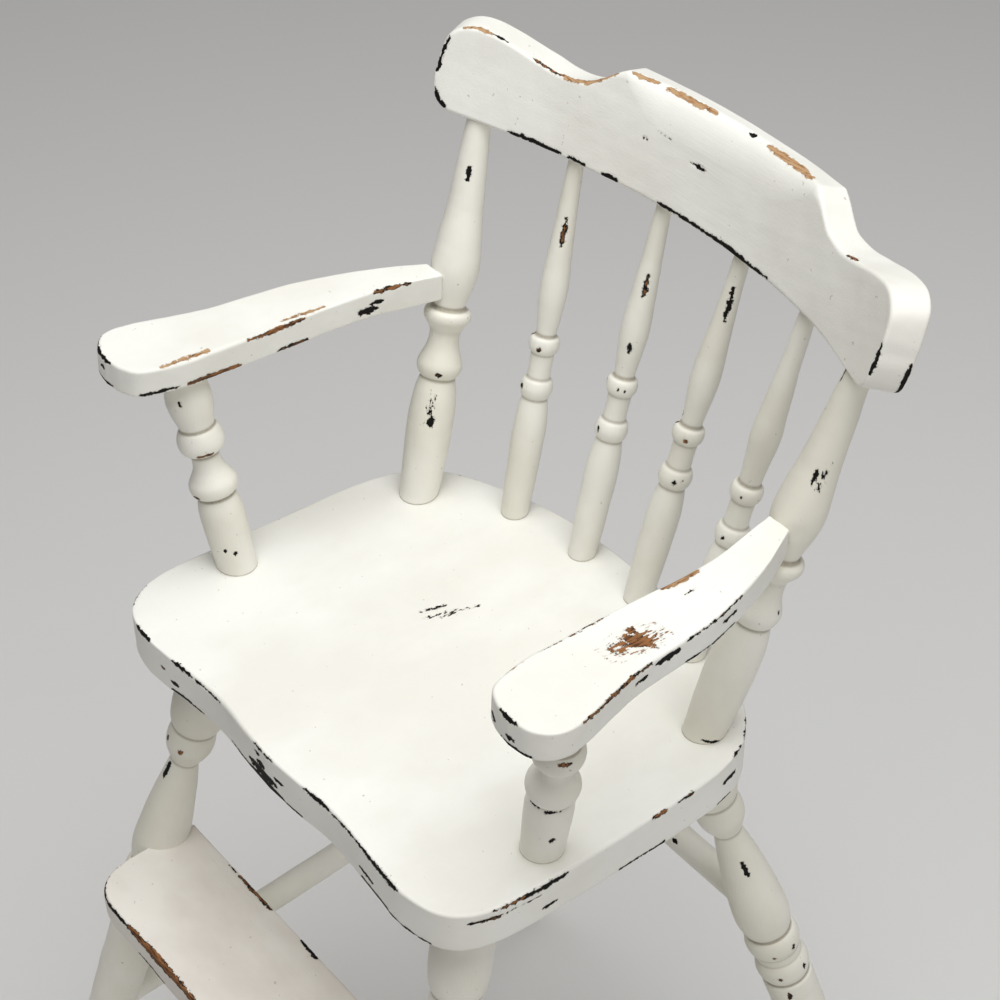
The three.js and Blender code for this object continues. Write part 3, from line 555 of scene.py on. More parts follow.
def board(near, far, thickness, lay, column_gap, face_gap, roll=None):
    """near and far are the two long sides, both from the same end to the same other end.
    Rings, from the middle of the face to the middle of the back: on the flats a ring is the
    outline moved a share of the way to the middle line; on an edge it is the outline moved in
    by reach * (1 - sin(turn)) and down by drop * (1 - cos(turn)), where reach and drop are the
    same radius unless roll changes them; on the side it is the outline itself. Gives a dict
    with the placed rings, the flat rings and outline, the ring numbers of six levels down the
    edge (lip, rim, shoulder, side, skirt, heel), the number of rings on the face, and how near
    each ring is to an edge."""
    length = np.linalg.norm(np.diff(near, axis=0), axis=1).sum()
    half = round(length / column_gap)
    near, far = even(near, half), even(far, half)
    outline = np.vstack([near[:-1], far[:0:-1]])
    count = 2 * half
    forward = np.roll(outline, -1, axis=0) - np.roll(outline, 1, axis=0)
    inward = np.stack([-forward[:, 1], forward[:, 0]], 1)
    inward /= np.maximum(np.linalg.norm(inward, axis=1, keepdims=True), 1e-9)
    ahead = np.roll(outline, -1, axis=0)
    turned = (outline[:, 0] * ahead[:, 1] - outline[:, 1] * ahead[:, 0]).sum()
    inward *= 1.0 if turned > 0 else -1.0
    for _ in range(SOFTEN):
        inward = (np.roll(inward, 1, axis=0) + inward + np.roll(inward, -1, axis=0)) / 3
    middle = (near + far) / 2
    squeezed = (0.5 + (np.linspace(0, 1, half + 1) - 0.5) * SPINE) * half
    spine = np.stack([np.interp(squeezed, np.arange(half + 1), middle[:, k]) for k in (0, 1)], -1)
    column = np.arange(count)
    spine = spine[np.minimum(column, count - column)]
    radius = EDGE * (1 + 0.35 * ripple(np.column_stack([outline, 0 * column]), 60.0, 11))
    reach_in, drop = (radius, radius) if roll is None else roll(outline, radius)

    widest = np.linalg.norm(outline - spine, axis=1).max()
    shares = np.linspace(0.97, 0.0, max(round(widest / face_gap), 4), endpoint=False)
    turn = np.linspace(0, math.pi / 2, ARC_RINGS)
    side = np.linspace(0, 1, max(round(thickness / 1.2), 4))[1:-1]
    flats, depths = [], []
    for share in shares:
        rim = outline + inward * reach_in[:, None]
        flats.append(rim + (spine - rim) * share)
        depths.append(0 * drop)
    for angle in turn:
        flats.append(outline + inward * (reach_in * (1 - math.sin(angle)))[:, None])
        depths.append(drop * (1 - math.cos(angle)))
    for share in side:
        flats.append(outline)
        depths.append(drop + (thickness - radius - drop) * share)
    for angle in turn[::-1]:
        flats.append(outline + inward * (radius * (1 - math.sin(angle)))[:, None])
        depths.append(thickness - radius * (1 - math.cos(angle)))
    for share in shares[::-1]:
        rim = outline + inward * radius[:, None]
        flats.append(rim + (spine - rim) * share)
        depths.append(0 * radius + thickness)
    flats, depths = np.array(flats), np.array(depths)
    rim_ring = len(shares) + ARC_RINGS - 2
    heel_ring = len(flats) - len(shares) - ARC_RINGS
    ring = np.arange(len(flats))
    closeness = np.exp(-(((ring - rim_ring) / 2.2) ** 2)) + 0.8 * np.exp(-(((ring - heel_ring) / 2.2) ** 2))
    return {
        "rings": lay(flats[..., 0], flats[..., 1], depths),
        "flats": flats,
        "outline": outline,
        "lip": len(shares) + 1,
        "rim": rim_ring,
        "shoulder": (3 * rim_ring + heel_ring) // 4,
        "side": (rim_ring + heel_ring) // 2,
        "skirt": (rim_ring + 3 * heel_ring) // 4,
        "heel": heel_ring,
        "faces": len(shares),
        "rub": closeness[:, None],
    }


# %% Worn places on a board
def along_edge(made, level, start, end):
    """Points of one ring, from the place nearest start to the place nearest end, the shorter
    way round."""
    outline = made["outline"]
    count = len(outline)
    first, last = (np.argmin(((outline - place) ** 2).sum(1)) for place in (start, end))
    step = (last - first + count // 2) % count - count // 2
    columns = (first + np.arange(0, abs(step) + 1) * (1 if step >= 0 else -1)) % count
    return made["rings"][made[level], columns]


def on_face(lay, start, end):
    """Points of a straight scratch on the face, one about every millimetre."""
    start, end = np.array(start, float), np.array(end, float)
    share = np.linspace(0, 1, max(int(np.linalg.norm(end - start)), 2))[:, None]
    line = start + (end - start) * share
    return lay(line[:, 0], line[:, 1], 0 * line[:, 0])


def worn_places(made, lay, rows):
    """Rows of level, start, end, half width, raw wood, firmness, as paths on the surface. A row
    may leave out raw wood, which is then 0, and firmness, which is then 1."""
    worn = []
    for row in rows:
        level, start, end, half_width, raw, firm = row + (0.0, 1.0)[len(row) - 4 :]
        if level == "face":
            path = on_face(lay, start, end)
        else:
            path = along_edge(made, level, start, end)
        worn.append((path, half_width, raw, firm))
    return worn


def stray_wear(made, seed, count, allowed, levels=("rim", "heel", "side")):
    """count short worn lines at seeded random places of the levels where allowed(a, b) holds."""
    draw = np.random.default_rng(seed)
    outline = made["outline"]
    columns = np.flatnonzero(allowed(outline[:, 0], outline[:, 1]))
    worn = []
    for _ in range(count):
        first = draw.choice(columns)
        length = draw.integers(3, 16)
        level = draw.choice(levels)
        path = made["rings"][made[level], (first + np.arange(length)) % len(outline)]
        worn.append((path, draw.uniform(0.5, 1.3), draw.choice([0.0, 0.0, 0.6]), 1.0))
    return worn


JOINT_DIRT = 0.45  # share of dirt at a joint's edge
JOINT_SPREAD = 3.0  # mm


def joint_dirt(made, joints):
    """Dirt on the face round each joint, given as its place and radius: strongest at the
    joint's edge, and gone a few times JOINT_SPREAD out."""
    dirt = np.zeros(made["flats"].shape[:2])
    on_the_face = (np.arange(len(dirt)) <= made["faces"])[:, None]
    for a, b, radius in joints:
        out = np.hypot(made["flats"][..., 0] - a, made["flats"][..., 1] - b) - radius
        dirt = np.maximum(dirt, JOINT_DIRT * np.exp(-np.abs(out) / JOINT_SPREAD))
    return dirt * on_the_face


# %% [markdown]
# ## Seat
# One wide board with two shallow hollows in its front edge and a rounded back. Its long front
# and right edges lie at the height of a table, so they carry most of the wear.


# %% Seat
def lay_seat(x, y, depth):
    """Level, with its face at the seat's height."""
    return np.stack([x, y, SEAT_TOP - depth], -1)


# short names for the seat's right, front and back edges, which the rows below start from
W, F, B = HALF_WIDTH, -SEAT_FRONT, SEAT_BACK
seat_front_half = smooth_curve(
    [(0, F + 0.6), (25, F + 2.3), (50, F + 4.6), (76, F + 3.45), (W - 62, F + 0.6), (W - 40, F)]
    + [(W - 20, F + 5), (W - 8, F + 16), (W - 1.8, F + 34), (W, F + 60)]
)
seat_back_half = smooth_curve(
    [(0, B), (20, B - 0.4), (50, B - 2.6), (W - 88, B - 7.8), (W - 61, B - 15.4), (W - 36, B - 27)]
    + [(W - 20, B - 40), (W - 10, B - 55), (W - 4.6, B - 74), (W - 2.2, B - 102)]
    + [(W - 0.8, F + 112), (W, F + 60)]
)
seat = board(
    mirrored_pair(seat_front_half), mirrored_pair(seat_back_half),
    SEAT_TOP - SEAT_UNDER, lay_seat, column_gap=1.5, face_gap=3.0,
)
seat_rows = [
    ("rim", (-133, F + 1), (-118, F), 1.1),
    ("rim", (-96, F), (-80, F), 1.2),
    ("rim", (-80, F), (-52, F), 0.5),
    ("side", (-107, F), (-105, F), 0.8, 0.6),
    ("heel", (-99, F), (-82, F), 1.9),
    ("skirt", (-98, F), (-92, F), 1.3),
    ("heel", (-82, F), (-70, F), 0.6),
    ("rim", (-13, F), (-6, F), 0.9),
    ("rim", (-3, F), (4, F), 0.9),
    ("heel", (-42, F), (28, F), 1.2),
    ("heel", (-18, F), (12, F), 3.6),
    ("skirt", (-20, F), (6, F), 2.8),
    ("side", (-10, F), (-4, F), 2.2),
    ("shoulder", (-14, F), (-9, F), 0.8),
    ("side", (6, F), (13, F), 1.0),
    ("rim", (31, F), (52, F), 1.2),
    ("rim", (52, F), (82, F), 0.6),
    ("rim", (84, F), (98, F), 1.0),
    ("rim", (96, F), (119, F), 1.4),
    ("heel", (83, F), (111, F), 1.8),
    ("skirt", (82, F), (95, F), 1.0),
    ("heel", (111, F), (143, F + 1), 0.6),
    ("shoulder", (W - 7, F + 18), (W - 2, F + 34), 0.9, 0.3, 0.92),
    ("rim", (W - 3, F + 30), (W - 1, F + 54), 0.8, 0.5, 0.92),
    ("rim", (W, F + 50), (W, F + 76), 1.2, 0.0, 0.92),
    ("shoulder", (W - 1, F + 38), (W, F + 58), 0.1, 0.0, 0.9),
    ("skirt", (W, F + 60), (W, F + 69), 1.0),
    ("heel", (W, F + 112), (W, F + 144), 0.7),
    ("rim", (W, F + 136), (W, F + 144), 1.2, 0.7),
    ("rim", (W - 1, F + 154), (W - 1, F + 166), 0.7, 0.3),
    ("heel", (W - 5, B - 72), (W - 7, B - 62), 1.2),
    ("side", (W - 6, B - 68), (W - 9, B - 58), 1.6),
    ("rim", (W - 8, B - 60), (W - 12, B - 52), 0.9),
    ("rim", (W - 16, B - 46), (W - 26, B - 34), 0.6),
    ("face", (-42, -40), (-38, -26), 1.0, 0.0, 0.92),
    ("face", (-36, -42), (-31, -24), 0.5, 0.2, 0.76),
    ("face", (-31, -34), (-26, -10), 0.4, 0.2, 0.75),
]
seat_worn = worn_places(seat, lay_seat, seat_rows)
seat_worn += stray_wear(seat, 21, 30, lambda a, b: (b > 40) | (a < -W + 6))
POST_FOOT, SPINDLE_FOOT, SUPPORT_FOOT = 11.7, 8.2, 11.8  # radii where they enter the seat
seat_joints = [(s * a[0][0], a[0][1], r) for s in (-1, 1) for a, r in (
    (post_axis, POST_FOOT), (outer_spindle_axis, SPINDLE_FOOT),
    (inner_spindle_axis, SPINDLE_FOOT), (support_axis, SUPPORT_FOOT))]
skin(
    "painted_seat", seat["rings"], paint_long, "seat", seat_worn,
    rub=seat["rub"], crease=joint_dirt(seat, seat_joints), ends="rungs",
)

# %% [markdown]
# ## Crest
# The crest is a bent board: two ears, two dips and a raised head in the middle whose front
# edge rolls back as a soft headrest. It is laid out flat and then bent round an upright
# cylinder that leans back. The head's top edge is the one edge of the chair that isn't a small
# quarter round: it is a wide shallow roll.


# %% Crest
HEAD_REACH = 22.0  # mm down the face where the head starts to roll back
HEAD_DROP = 9.0  # mm back from the face where the roll meets the top
EAR_SLOPE = 0.2  # the ears' top edge was sawn rising toward the back
OFF_CENTRE = 1.5  # mm, how far the crest sits to the right


def lay_crest(s, h, depth):
    """Bent round the crest's own cylinder and leaning back."""
    on_ear = smooth_step(np.abs(s), 85.0, 125.0) * smooth_step(h, 30.0, 56.0)
    return crest_place(s + OFF_CENTRE, depth, h + EAR_SLOPE * depth * on_ear)


def crest_roll(outline, radius):
    """The softened edge grows to the head's roll along the top of the raised head."""
    in_head = smooth_step(np.abs(outline[:, 0]), 88.0, 44.0) * (outline[:, 1] > 40)
    return radius + (HEAD_REACH - radius) * in_head, radius + (HEAD_DROP - radius) * in_head


crest_under = smooth_curve(
    [(s, crest_underside(s)) for s in (0, 40, 80, 120, 163)]
    + [(173, 12.4), (179, 14.4), (183, 18.4), (CREST_HALF, 28.4), (CREST_HALF, 36)]
)
crest_head = [(0, 76.5), (38, 76.2), (75, 75.6)]
crest_ear = [(75, 75.6), (83, 70.2), (90.5, 64.2), (98.5, 59.6), (113, 57), (129, 58.6), (148, 62)]
crest_ear += [(163, 63.6), (172, 62.8), (179, 59.6), (184, 54), (CREST_HALF, 43.6), (CREST_HALF, 36)]
crest_over = np.vstack([smooth_curve(crest_head)[:-1], smooth_curve(crest_ear)])
crest = board(
    mirrored_pair(crest_under), mirrored_pair(crest_over),
    CREST_THICKNESS, lay_crest, column_gap=1.2, face_gap=1.6, roll=crest_roll,
)
crest_rows = [
    ("lip", (-186, 32), (-185, 54), 1.0),
    ("lip", (-185, 22), (-176, 13), 1.7),
    ("rim", (-177, 61), (-159, 63), 1.3, 1.0, 0.92),
    ("rim", (-159, 63), (-150, 62), 0.7, 0.0, 0.92),
    ("rim", (-133, 59), (-112, 57), 0.8, 0.7, 0.92),
    ("rim", (-110, 57), (-82, 71), 2.0, 1.0),
    ("rim", (-72, 76), (-57, 76), 1.5, 1.0, 0.86),
    ("rim", (-50, 76), (-17, 76), 2.0, 1.0, 0.86),
    ("rim", (9, 76), (13, 76), 1.0),
    ("rim", (24, 76), (64, 76), 2.3, 1.0, 0.86),
    ("lip", (-134, 14), (-100, 14), 1.4),
    ("lip", (-94, 14), (-83, 14), 1.3),
    ("lip", (-70, 15), (-61, 15), 1.6),
    ("lip", (-30, 15), (14, 15), 0.9),
    ("lip", (12, 15), (46, 15), 1.8),
    ("lip", (46, 15), (62, 15), 0.7),
    ("face", (-17, 46.6), (-6, 46.8), 0.9),
    ("face", (-52, 46), (-50, 46), 0.7),
    ("face", (-44, 53), (-35, 53), 0.1, 0.0, 0.85),
    ("rim", (117, 57), (127, 58), 0.7, 0.7, 0.9),
    ("lip", (186, 24), (186, 40), 1.5),
    ("heel", (184, 20), (186, 32), 1.5),
]
crest_worn = worn_places(crest, lay_crest, crest_rows)
crest_worn += stray_wear(crest, 31, 9, lambda a, b: b < 24, levels=("heel",))
skin(
    "painted_crest", crest["rings"], paint_wide, "crest_rail", crest_worn,
    rub=crest["rub"], ends="rungs",
)

# %% [markdown]
# ## Arms
# Each arm is a paddle at the front that narrows to the post, tilted up a little toward the
# front. The right one is the left one's mirror image in shape, but each has its own wear: a
# child's hand and a parent's grip have taken the right one down to the beech.


# %% Arms
def lay_arm(side):
    """Tilted arm on one side: side is 1 or -1."""
    normal = np.array([0.0, ARM_PITCH, 1.0]) / math.hypot(ARM_PITCH, 1.0)

    def lay(x, y, depth):
        top = np.stack([side * x, y, arm_top(y)], -1)
        return top - depth[..., None] * normal

    return lay


post_at_arm = on_axis_at(post_axis, SEAT_TOP + ARM_RISE - ARM_THICKNESS / 2)
arm_inner = HALF_WIDTH - 15.2
arm_front = -151.0
arm_back = post_at_arm[1] - 14.3 + 1.4
arm_back_inner = post_at_arm[0] - 7.5 + 1.5
arm_tip = (arm_inner + 30, arm_front)
arm_tail = (arm_back_inner + 7.5, arm_back)
arm_outer_line = smooth_curve(
    [arm_tip]
    + [(arm_inner + out, arm_front + on) for out, on in (
        (42, 2.4), (50, 9), (53, 19), (51, 33), (45, 54), (40, 75), (37.4, 101), (34.4, 124),
        (28, 148), (18, 175))]
    + [(arm_back_inner + 15, arm_back)]
)
arm_inner_line = smooth_curve(
    [arm_tip]
    + [(arm_inner + out, arm_front + on) for out, on in (
        (17, 2.4), (7, 10), (1.6, 32), (0.6, 54), (0, 92))]
    + [(arm_inner, arm_back - 72), (arm_inner - 2.2, arm_back - 38), (arm_back_inner, arm_back)]
)
arm_lines = [np.vstack([line, [arm_tail]]) for line in (arm_inner_line, arm_outer_line)]
IN = arm_inner  # short name for the inner edge, which the rows below start from
arm_rows = {
    -1: [
        ("face", (IN + 5, -130), (IN + 4, -101), 1.2, 1.0, 0.87),
        ("rim", (IN, -76), (IN, -39), 1.1, 0.85, 0.95),
        ("face", (IN + 4, -52), (IN + 2.5, -24), 0.9, 0.97, 0.88),
        ("rim", (IN - 3, 8), (IN - 9, 31), 1.2, 0.6),
        ("skirt", (IN - 1, -2), (IN - 4, 9), 2.1),
        ("side", (IN - 3, 6), (IN - 6, 13), 1.1),
        ("heel", (IN, -57), (IN, -38), 1.2, 0.4),
        ("heel", (IN, -115), (IN, -83), 1.5, 0.8),
        ("heel", (IN + 7, -143), (IN + 1, -122), 1.0),
        ("rim", (IN + 49, -142), (IN + 34, -150), 1.5),
        ("heel", (IN + 42, -149), (IN + 24, -151), 0.6),
    ],
    1: [
        ("face", (IN + 21, -70), (IN + 28, -65), 4.4, 0.85, 0.93),
        ("face", (IN + 15, -66), (IN + 18, -64), 2.4, 0.85, 0.93),
        ("face", (IN + 22, -80), (IN + 26, -58), 3.4, 0.8, 0.73),
        ("face", (IN + 1.6, -32), (IN + 1.2, -10), 2.4, 0.95),
        ("face", (IN + 12, -26), (IN + 11, -19), 0.4),
        ("lip", (IN + 1, -112), (IN, -66), 0.0, 0.6, 0.86),
        ("face", (IN + 5, -137), (IN + 2.5, -122), 0.6, 0.95, 0.9),
        ("rim", (IN + 51, -124), (IN + 40, -72), 0.9, 0.6, 0.93),
        ("shoulder", (IN + 39, -67), (IN + 37.6, -53), 1.9),
        ("side", (IN + 41, -82), (IN + 40, -75), 1.0),
        ("rim", (IN + 37, -47), (IN + 28, -3), 0.25, 0.3, 0.92),
        ("side", (IN + 32, -18), (IN + 29, -8), 1.0),
        ("heel", (IN + 37, -46), (IN + 30, -8), 0.4),
        ("rim", (IN + 22, -150), (IN + 35, -151), 1.4),
        ("skirt", (IN + 13, -147), (IN + 17, -149), 1.9),
        ("skirt", (IN + 29, -151), (IN + 33, -151), 1.0),
        ("heel", (IN + 24, -151), (IN + 44, -147), 0.7),
    ],
}
for side, word in ((-1, "left"), (1, "right")):
    lay = lay_arm(side)
    arm = board(arm_lines[0], arm_lines[1], ARM_THICKNESS, lay, column_gap=1.1, face_gap=1.4)
    arm_worn = worn_places(arm, lay, arm_rows[side])
    hidden_side = (lambda a, b: a > IN + 25) if side < 0 else (lambda a, b: (a < IN + 4) & (b < -50))
    arm_worn += stray_wear(arm, 40 + side, 9, hidden_side)
    skin(
        f"painted_arm_{word}", arm["rings"], paint_long, f"arm_{word}",
        arm_worn, rub=arm["rub"], ends="rungs",
    )

# %% [markdown]
# ## Footrest
# A plain board between the front legs with two rounded front corners. Shoes have worn a long
# band of its front edge down to brown wood. Its two ends run into the legs, as the real ones
# do, so its corners there never show.


# %% Footrest
FOOTREST_TOP = SEAT_TOP - 180.0
FOOTREST_DEPTH = 76.0
FOOTREST_THICKNESS = 18.0
FOOT_CORNER = 30.0  # how far each rounded corner runs along both of its sides
footrest_leg = on_axis_at(front_leg_axis, FOOTREST_TOP)
foot_half = footrest_leg[0] - 7.0
foot_back = footrest_leg[1] + 17.7
foot_front = foot_back - FOOTREST_DEPTH


def lay_footrest(x, y, depth):
    """Level, with its face at the footrest's height."""
    return np.stack([x, y, FOOTREST_TOP - depth], -1)


corner = np.linspace(0, 1, 17)[:, None]
foot_corner = (
    (1 - corner) ** 2 * [foot_half - FOOT_CORNER, foot_front]
    + 2 * corner * (1 - corner) * [foot_half, foot_front]
    + corner**2 * [foot_half, foot_front + FOOT_CORNER]
)
foot_end = [(foot_half, foot_front + 40)]
foot_near = mirrored_pair(np.vstack([[(0, foot_front)], foot_corner, foot_end]))
foot_far = mirrored_pair([(0, foot_back), (foot_half, foot_back), foot_end[0]])
footrest = board(
    foot_near, foot_far, FOOTREST_THICKNESS, lay_footrest, column_gap=1.4, face_gap=1.8
)
footrest_rows = [
    ("rim", (-foot_half, foot_front + 26), (-84, foot_front), 1.3),
    ("rim", (-90, foot_front), (-14, foot_front), 3.0, 0.64),
    ("lip", (-70, foot_front), (-30, foot_front), 1.6, 0.72),
    ("rim", (-14, foot_front), (10, foot_front), 1.1, 0.4),
    ("rim", (30, foot_front), (74, foot_front), 2.0, 0.9),
    ("heel", (-78, foot_front), (-50, foot_front), 0.8),
    ("lip", (-92, foot_back), (-84, foot_back), 0.5),
    ("lip", (-80, foot_back), (-46, foot_back), 1.5, 0.5),
    ("lip", (-14, foot_back), (2, foot_back), 1.3),
]
footrest_worn = worn_places(footrest, lay_footrest, footrest_rows)
footrest_worn += stray_wear(footrest, 51, 14, lambda a, b: a > 20)
LEG_RADIUS = 16.0  # where the legs pass the footrest
foot_joints = [(s * footrest_leg[0], footrest_leg[1], LEG_RADIUS) for s in (-1, 1)]
skin(
    "painted_footrest", footrest["rings"], footrest_paint_with_painted_shade, "footrest",
    footrest_worn, rub=footrest["rub"], crease=joint_dirt(footrest, foot_joints), ends="rungs",
)

# %% [markdown]
# ## Turned pieces
# Posts, spindles, arm supports and legs came off a lathe. Each is a list of runs: smooth
# stretches of distance and diameter, with a sharp crease where the chisel turned. Spinning a
# profile with a Screw modifier would do, but the paint needs to know crests from hollows. So
# the profile is worked out finely, blurred by the width of a fillet of paint, and compared
# with a wider blur of itself: above it is a crest that rubs, below it is a hollow that keeps
# dirt.

# %% Turned surface
STATION = 0.25  # mm between the stations of a profile
FILLET = 0.45  # mm, width of the paint in a crease
BROAD = 2.2  # mm, width of the blur that crests and hollows are told by
CREST_FULL = 0.5  # mm above the broad blur where a crest rubs most
HOLLOW_FULL = 0.75  # mm below it where a hollow holds most dirt


def blurred(values, width):
    """Average over a bell curve of the given width in mm."""
    reach = int(4 * width / STATION)
    bell = np.exp(-0.5 * (np.arange(-reach, reach + 1) * STATION / width) ** 2)
    padded = np.pad(values, reach, mode="edge")
    return np.convolve(padded, bell / bell.sum(), "valid")


def turning(runs, axis, below, past, ring_gap=0.8, columns=72, on_floor=False):
    """Radius r(t) along the axis: the smooth curve through each run, then blurred. A surface
    point is start + t * direction + r(t) * (cos(a) * across + sin(a) * over). below and past
    are how far the piece runs on beyond its two ends, inside its neighbours. A foot on the
    floor is stretched, column by column, so that it ends level."""
    start, direction, length = axis
    curves = [smooth_curve(run) for run in runs]
    at = np.concatenate([curve[:, 0] for curve in curves])
    at = np.maximum.accumulate(at + np.arange(len(at)) * 1e-6)
    grid = np.arange(-below, length + past + STATION, STATION)
    sharp = np.interp(grid, at, np.concatenate([curve[:, 1] for curve in curves]) / 2)
    radius = blurred(sharp, FILLET)
    broad = blurred(sharp, BROAD)
    stations = np.arange(-below, length + past, ring_gap)
    r = np.interp(stations, grid, radius)
    crest_share = np.interp(stations, grid, np.clip((radius - broad) / CREST_FULL, 0, 1))
    hollow = np.interp(stations, grid, np.clip((broad - radius) / HOLLOW_FULL, 0, 1))
    reference = np.array([0.0, 0.0, 1.0] if abs(direction[0]) > 0.9 else [1.0, 0.0, 0.0])
    across = reference - direction * (reference @ direction)
    across /= np.linalg.norm(across)
    over = np.cross(direction, across) * (1.0 if direction[2] >= 0 else -1.0)
    angle = np.linspace(0, 2 * math.pi, columns, endpoint=False)
    spoke = np.cos(angle)[:, None] * across + np.sin(angle)[:, None] * over
    t = stations[:, None] + 0 * angle
    if on_floor:
        level = (start[2] + direction[2] * stations[-1] + r[-1] * spoke[:, 2]) / -direction[2]
        t = t + level * smooth_step(stations, length - 60.0, stations[-1])[:, None]
    rings = start + t[..., None] * direction + r[:, None, None] * spoke
    seam = np.exp(-(((rings[..., 2] - SEAT_TOP) / 0.8) ** 2))
    return {
        "rings": rings,
        "stations": stations,
        "angle": np.degrees(angle),
        "rub": crest_share[:, None],
        "crease": np.maximum(hollow[:, None], seam),
    }


FAINT_BLOT, FIRM_BLOT = 0.72, 0.96  # firmness


def blots(made, rows):
    """Rows of distance, compass angle, length, half width and, if any shows, raw wood: worn
    places that run along the axis. Angle 0 faces right, -90 faces the front. A negative length
    runs round the piece instead, for that many degrees. Long thin ones are faint."""
    worn = []
    for row in rows:
        distance, angle, length, half_width, raw = row + (0.0,) * (5 - len(row))
        turn = (made["angle"] - angle + 180.0) % 360.0 - 180.0
        if length < 0:
            ring = np.abs(made["stations"] - distance).argmin()
            near = np.flatnonzero(np.abs(turn) <= -length / 2)
            near = near[np.argsort(turn[near])]
            worn.append((made["rings"][ring, near], half_width, raw, 1.0))
            continue
        column = np.abs(turn).argmin()
        on = np.abs(made["stations"] - distance) <= max(length / 2, 0.6)
        firm = FAINT_BLOT if length > 14 and half_width < 0.9 else FIRM_BLOT
        worn.append((made["rings"][on, column], half_width, raw, firm))
    return worn


def stray_blots(seed, count, length):
    """count seeded random worn places on the sides that face away from the front right."""
    draw = np.random.default_rng(seed)
    rows = []
    for _ in range(count):
        angle = draw.uniform(60, 230)
        rows.append((draw.uniform(5, length - 5), angle, draw.uniform(1, 9), draw.uniform(0.6, 1.5),
                     draw.choice([0.0, 0.0, 0.7])))
    return rows


def turned_skin(name, made, node, rows):
    """Makes a turned piece of the chair, with its worn blots."""
    return skin(
        name, made["rings"], paint_turned, node, blots(made, rows),
        rub=made["rub"], crease=made["crease"],
    )


# %% [markdown]
# ## Posts and spindles
# Two posts carry the arms and four thinner spindles fill the back. All stand in sockets in
# the seat and lean back and outward into the underside of the crest.

# %% Posts and spindles
POST = [
    [(0, 23.4), (24, 26.4), (50, 27.8), (67, 25.4), (78, 20.8)],
    [(78, 21.2), (80, 24.4), (83.5, 26.9), (87, 26.6), (92, 23), (97, 19.6), (102, 18.2), (107, 18.8),
     (111, 23), (114.5, 27.6), (117.5, 28.6), (120, 27.2), (121, 24)],
    [(121, 18.4), (129, 21.8), (140, 27), (150, 28.6), (163, 26.4), (180, 22.2)],
]
SPINDLE = [
    [(0, 16.5), (30, 18.6), (56, 19.6), (69, 18), (78, 14.8)],
    [(78, 15), (79, 16.8), (81.4, 18.6), (84.2, 19.3), (87, 18.6), (89.4, 16.8), (90.2, 14.4)],
    [(90.2, 13.8), (98.5, 13.4), (107, 13.8)],
    [(107, 14.6), (108, 16.4), (110, 17.9), (112.2, 18.3), (114.6, 17.8), (116.6, 16.2), (117.3, 14)],
    [(117.3, 11.8), (126, 13), (146, 16.6), (164, 15), (190, 11.6)],
]


def standing_runs(runs, length, top):
    """The runs with a last taper from the end of the turning to the crest."""
    return runs + [[runs[-1][-1], (length, top)]]


VIEW = -37  # compass angle of the front right, which meets the eye first
standing = [
    ("back_post_left", "painted_post_left", mirrored_axis(post_axis), POST, 13.8,
     [(53, VIEW - 4, 7, 1.7), (59, VIEW - 8, 16, 0.6), (82.5, VIEW - 2, -14, 1.4, 0.4),
      (206, VIEW - 12, 8, 1.2)]),
    ("back_post_right", "painted_post_right", post_axis, POST, 13.8,
     [(177, VIEW - 18, 10, 0.7), (178, VIEW + 4, 15, 0.3), (90, VIEW + 50, 2, 0.8, 0.2),
      (1, VIEW + 20, -70, 0.5)]),
    ("back_spindle_1", "painted_spindle_1", mirrored_axis(outer_spindle_axis), SPINDLE, 8.8,
     [(184, VIEW - 10, 18, 0.9, 0.4), (111, VIEW - 24, 2, 1.3, 0.5), (85, VIEW - 70, 2, 1.2)]),
    ("back_spindle_2", "painted_spindle_2", mirrored_axis(inner_spindle_axis), SPINDLE, 8.8,
     [(177, VIEW - 8, 13, 1.1, 0.5), (138, VIEW - 14, 6, 1.1, 0.1), (112, VIEW - 20, 2, 0.7, 0.2),
      (112, VIEW + 6, 1, 0.5), (84, VIEW - 60, 3, 0.7)]),
    ("back_spindle_3", "painted_spindle_3", inner_spindle_axis, SPINDLE, 8.8,
     [(196, VIEW - 8, 20, 1.1, 0.1), (111, VIEW - 16, 1, 2.2, 0.8), (84, VIEW - 6, 2, 1.1, 0.2),
      (86, VIEW + 16, 1, 0.7)]),
    ("back_spindle_4", "painted_spindle_4", outer_spindle_axis, SPINDLE, 8.8,
     [(112, VIEW - 30, 1, 0.8), (84, VIEW - 40, 1, 1.0)]),
]
for number, (node, name, axis, runs, top, rows) in enumerate(standing):
    made = turning(
        standing_runs(runs, axis[2], top), axis, below=5.0, past=9.0,
        columns=72 if "post" in node else 56,
    )
    turned_skin(name, made, node, rows + stray_blots(60 + number, 5, axis[2]))

# %% [markdown]
# ## Arm supports
# Short thick turnings under the paddles. The right one stands 5 mm higher in its socket, so
# all its beads sit higher than its neighbour's.

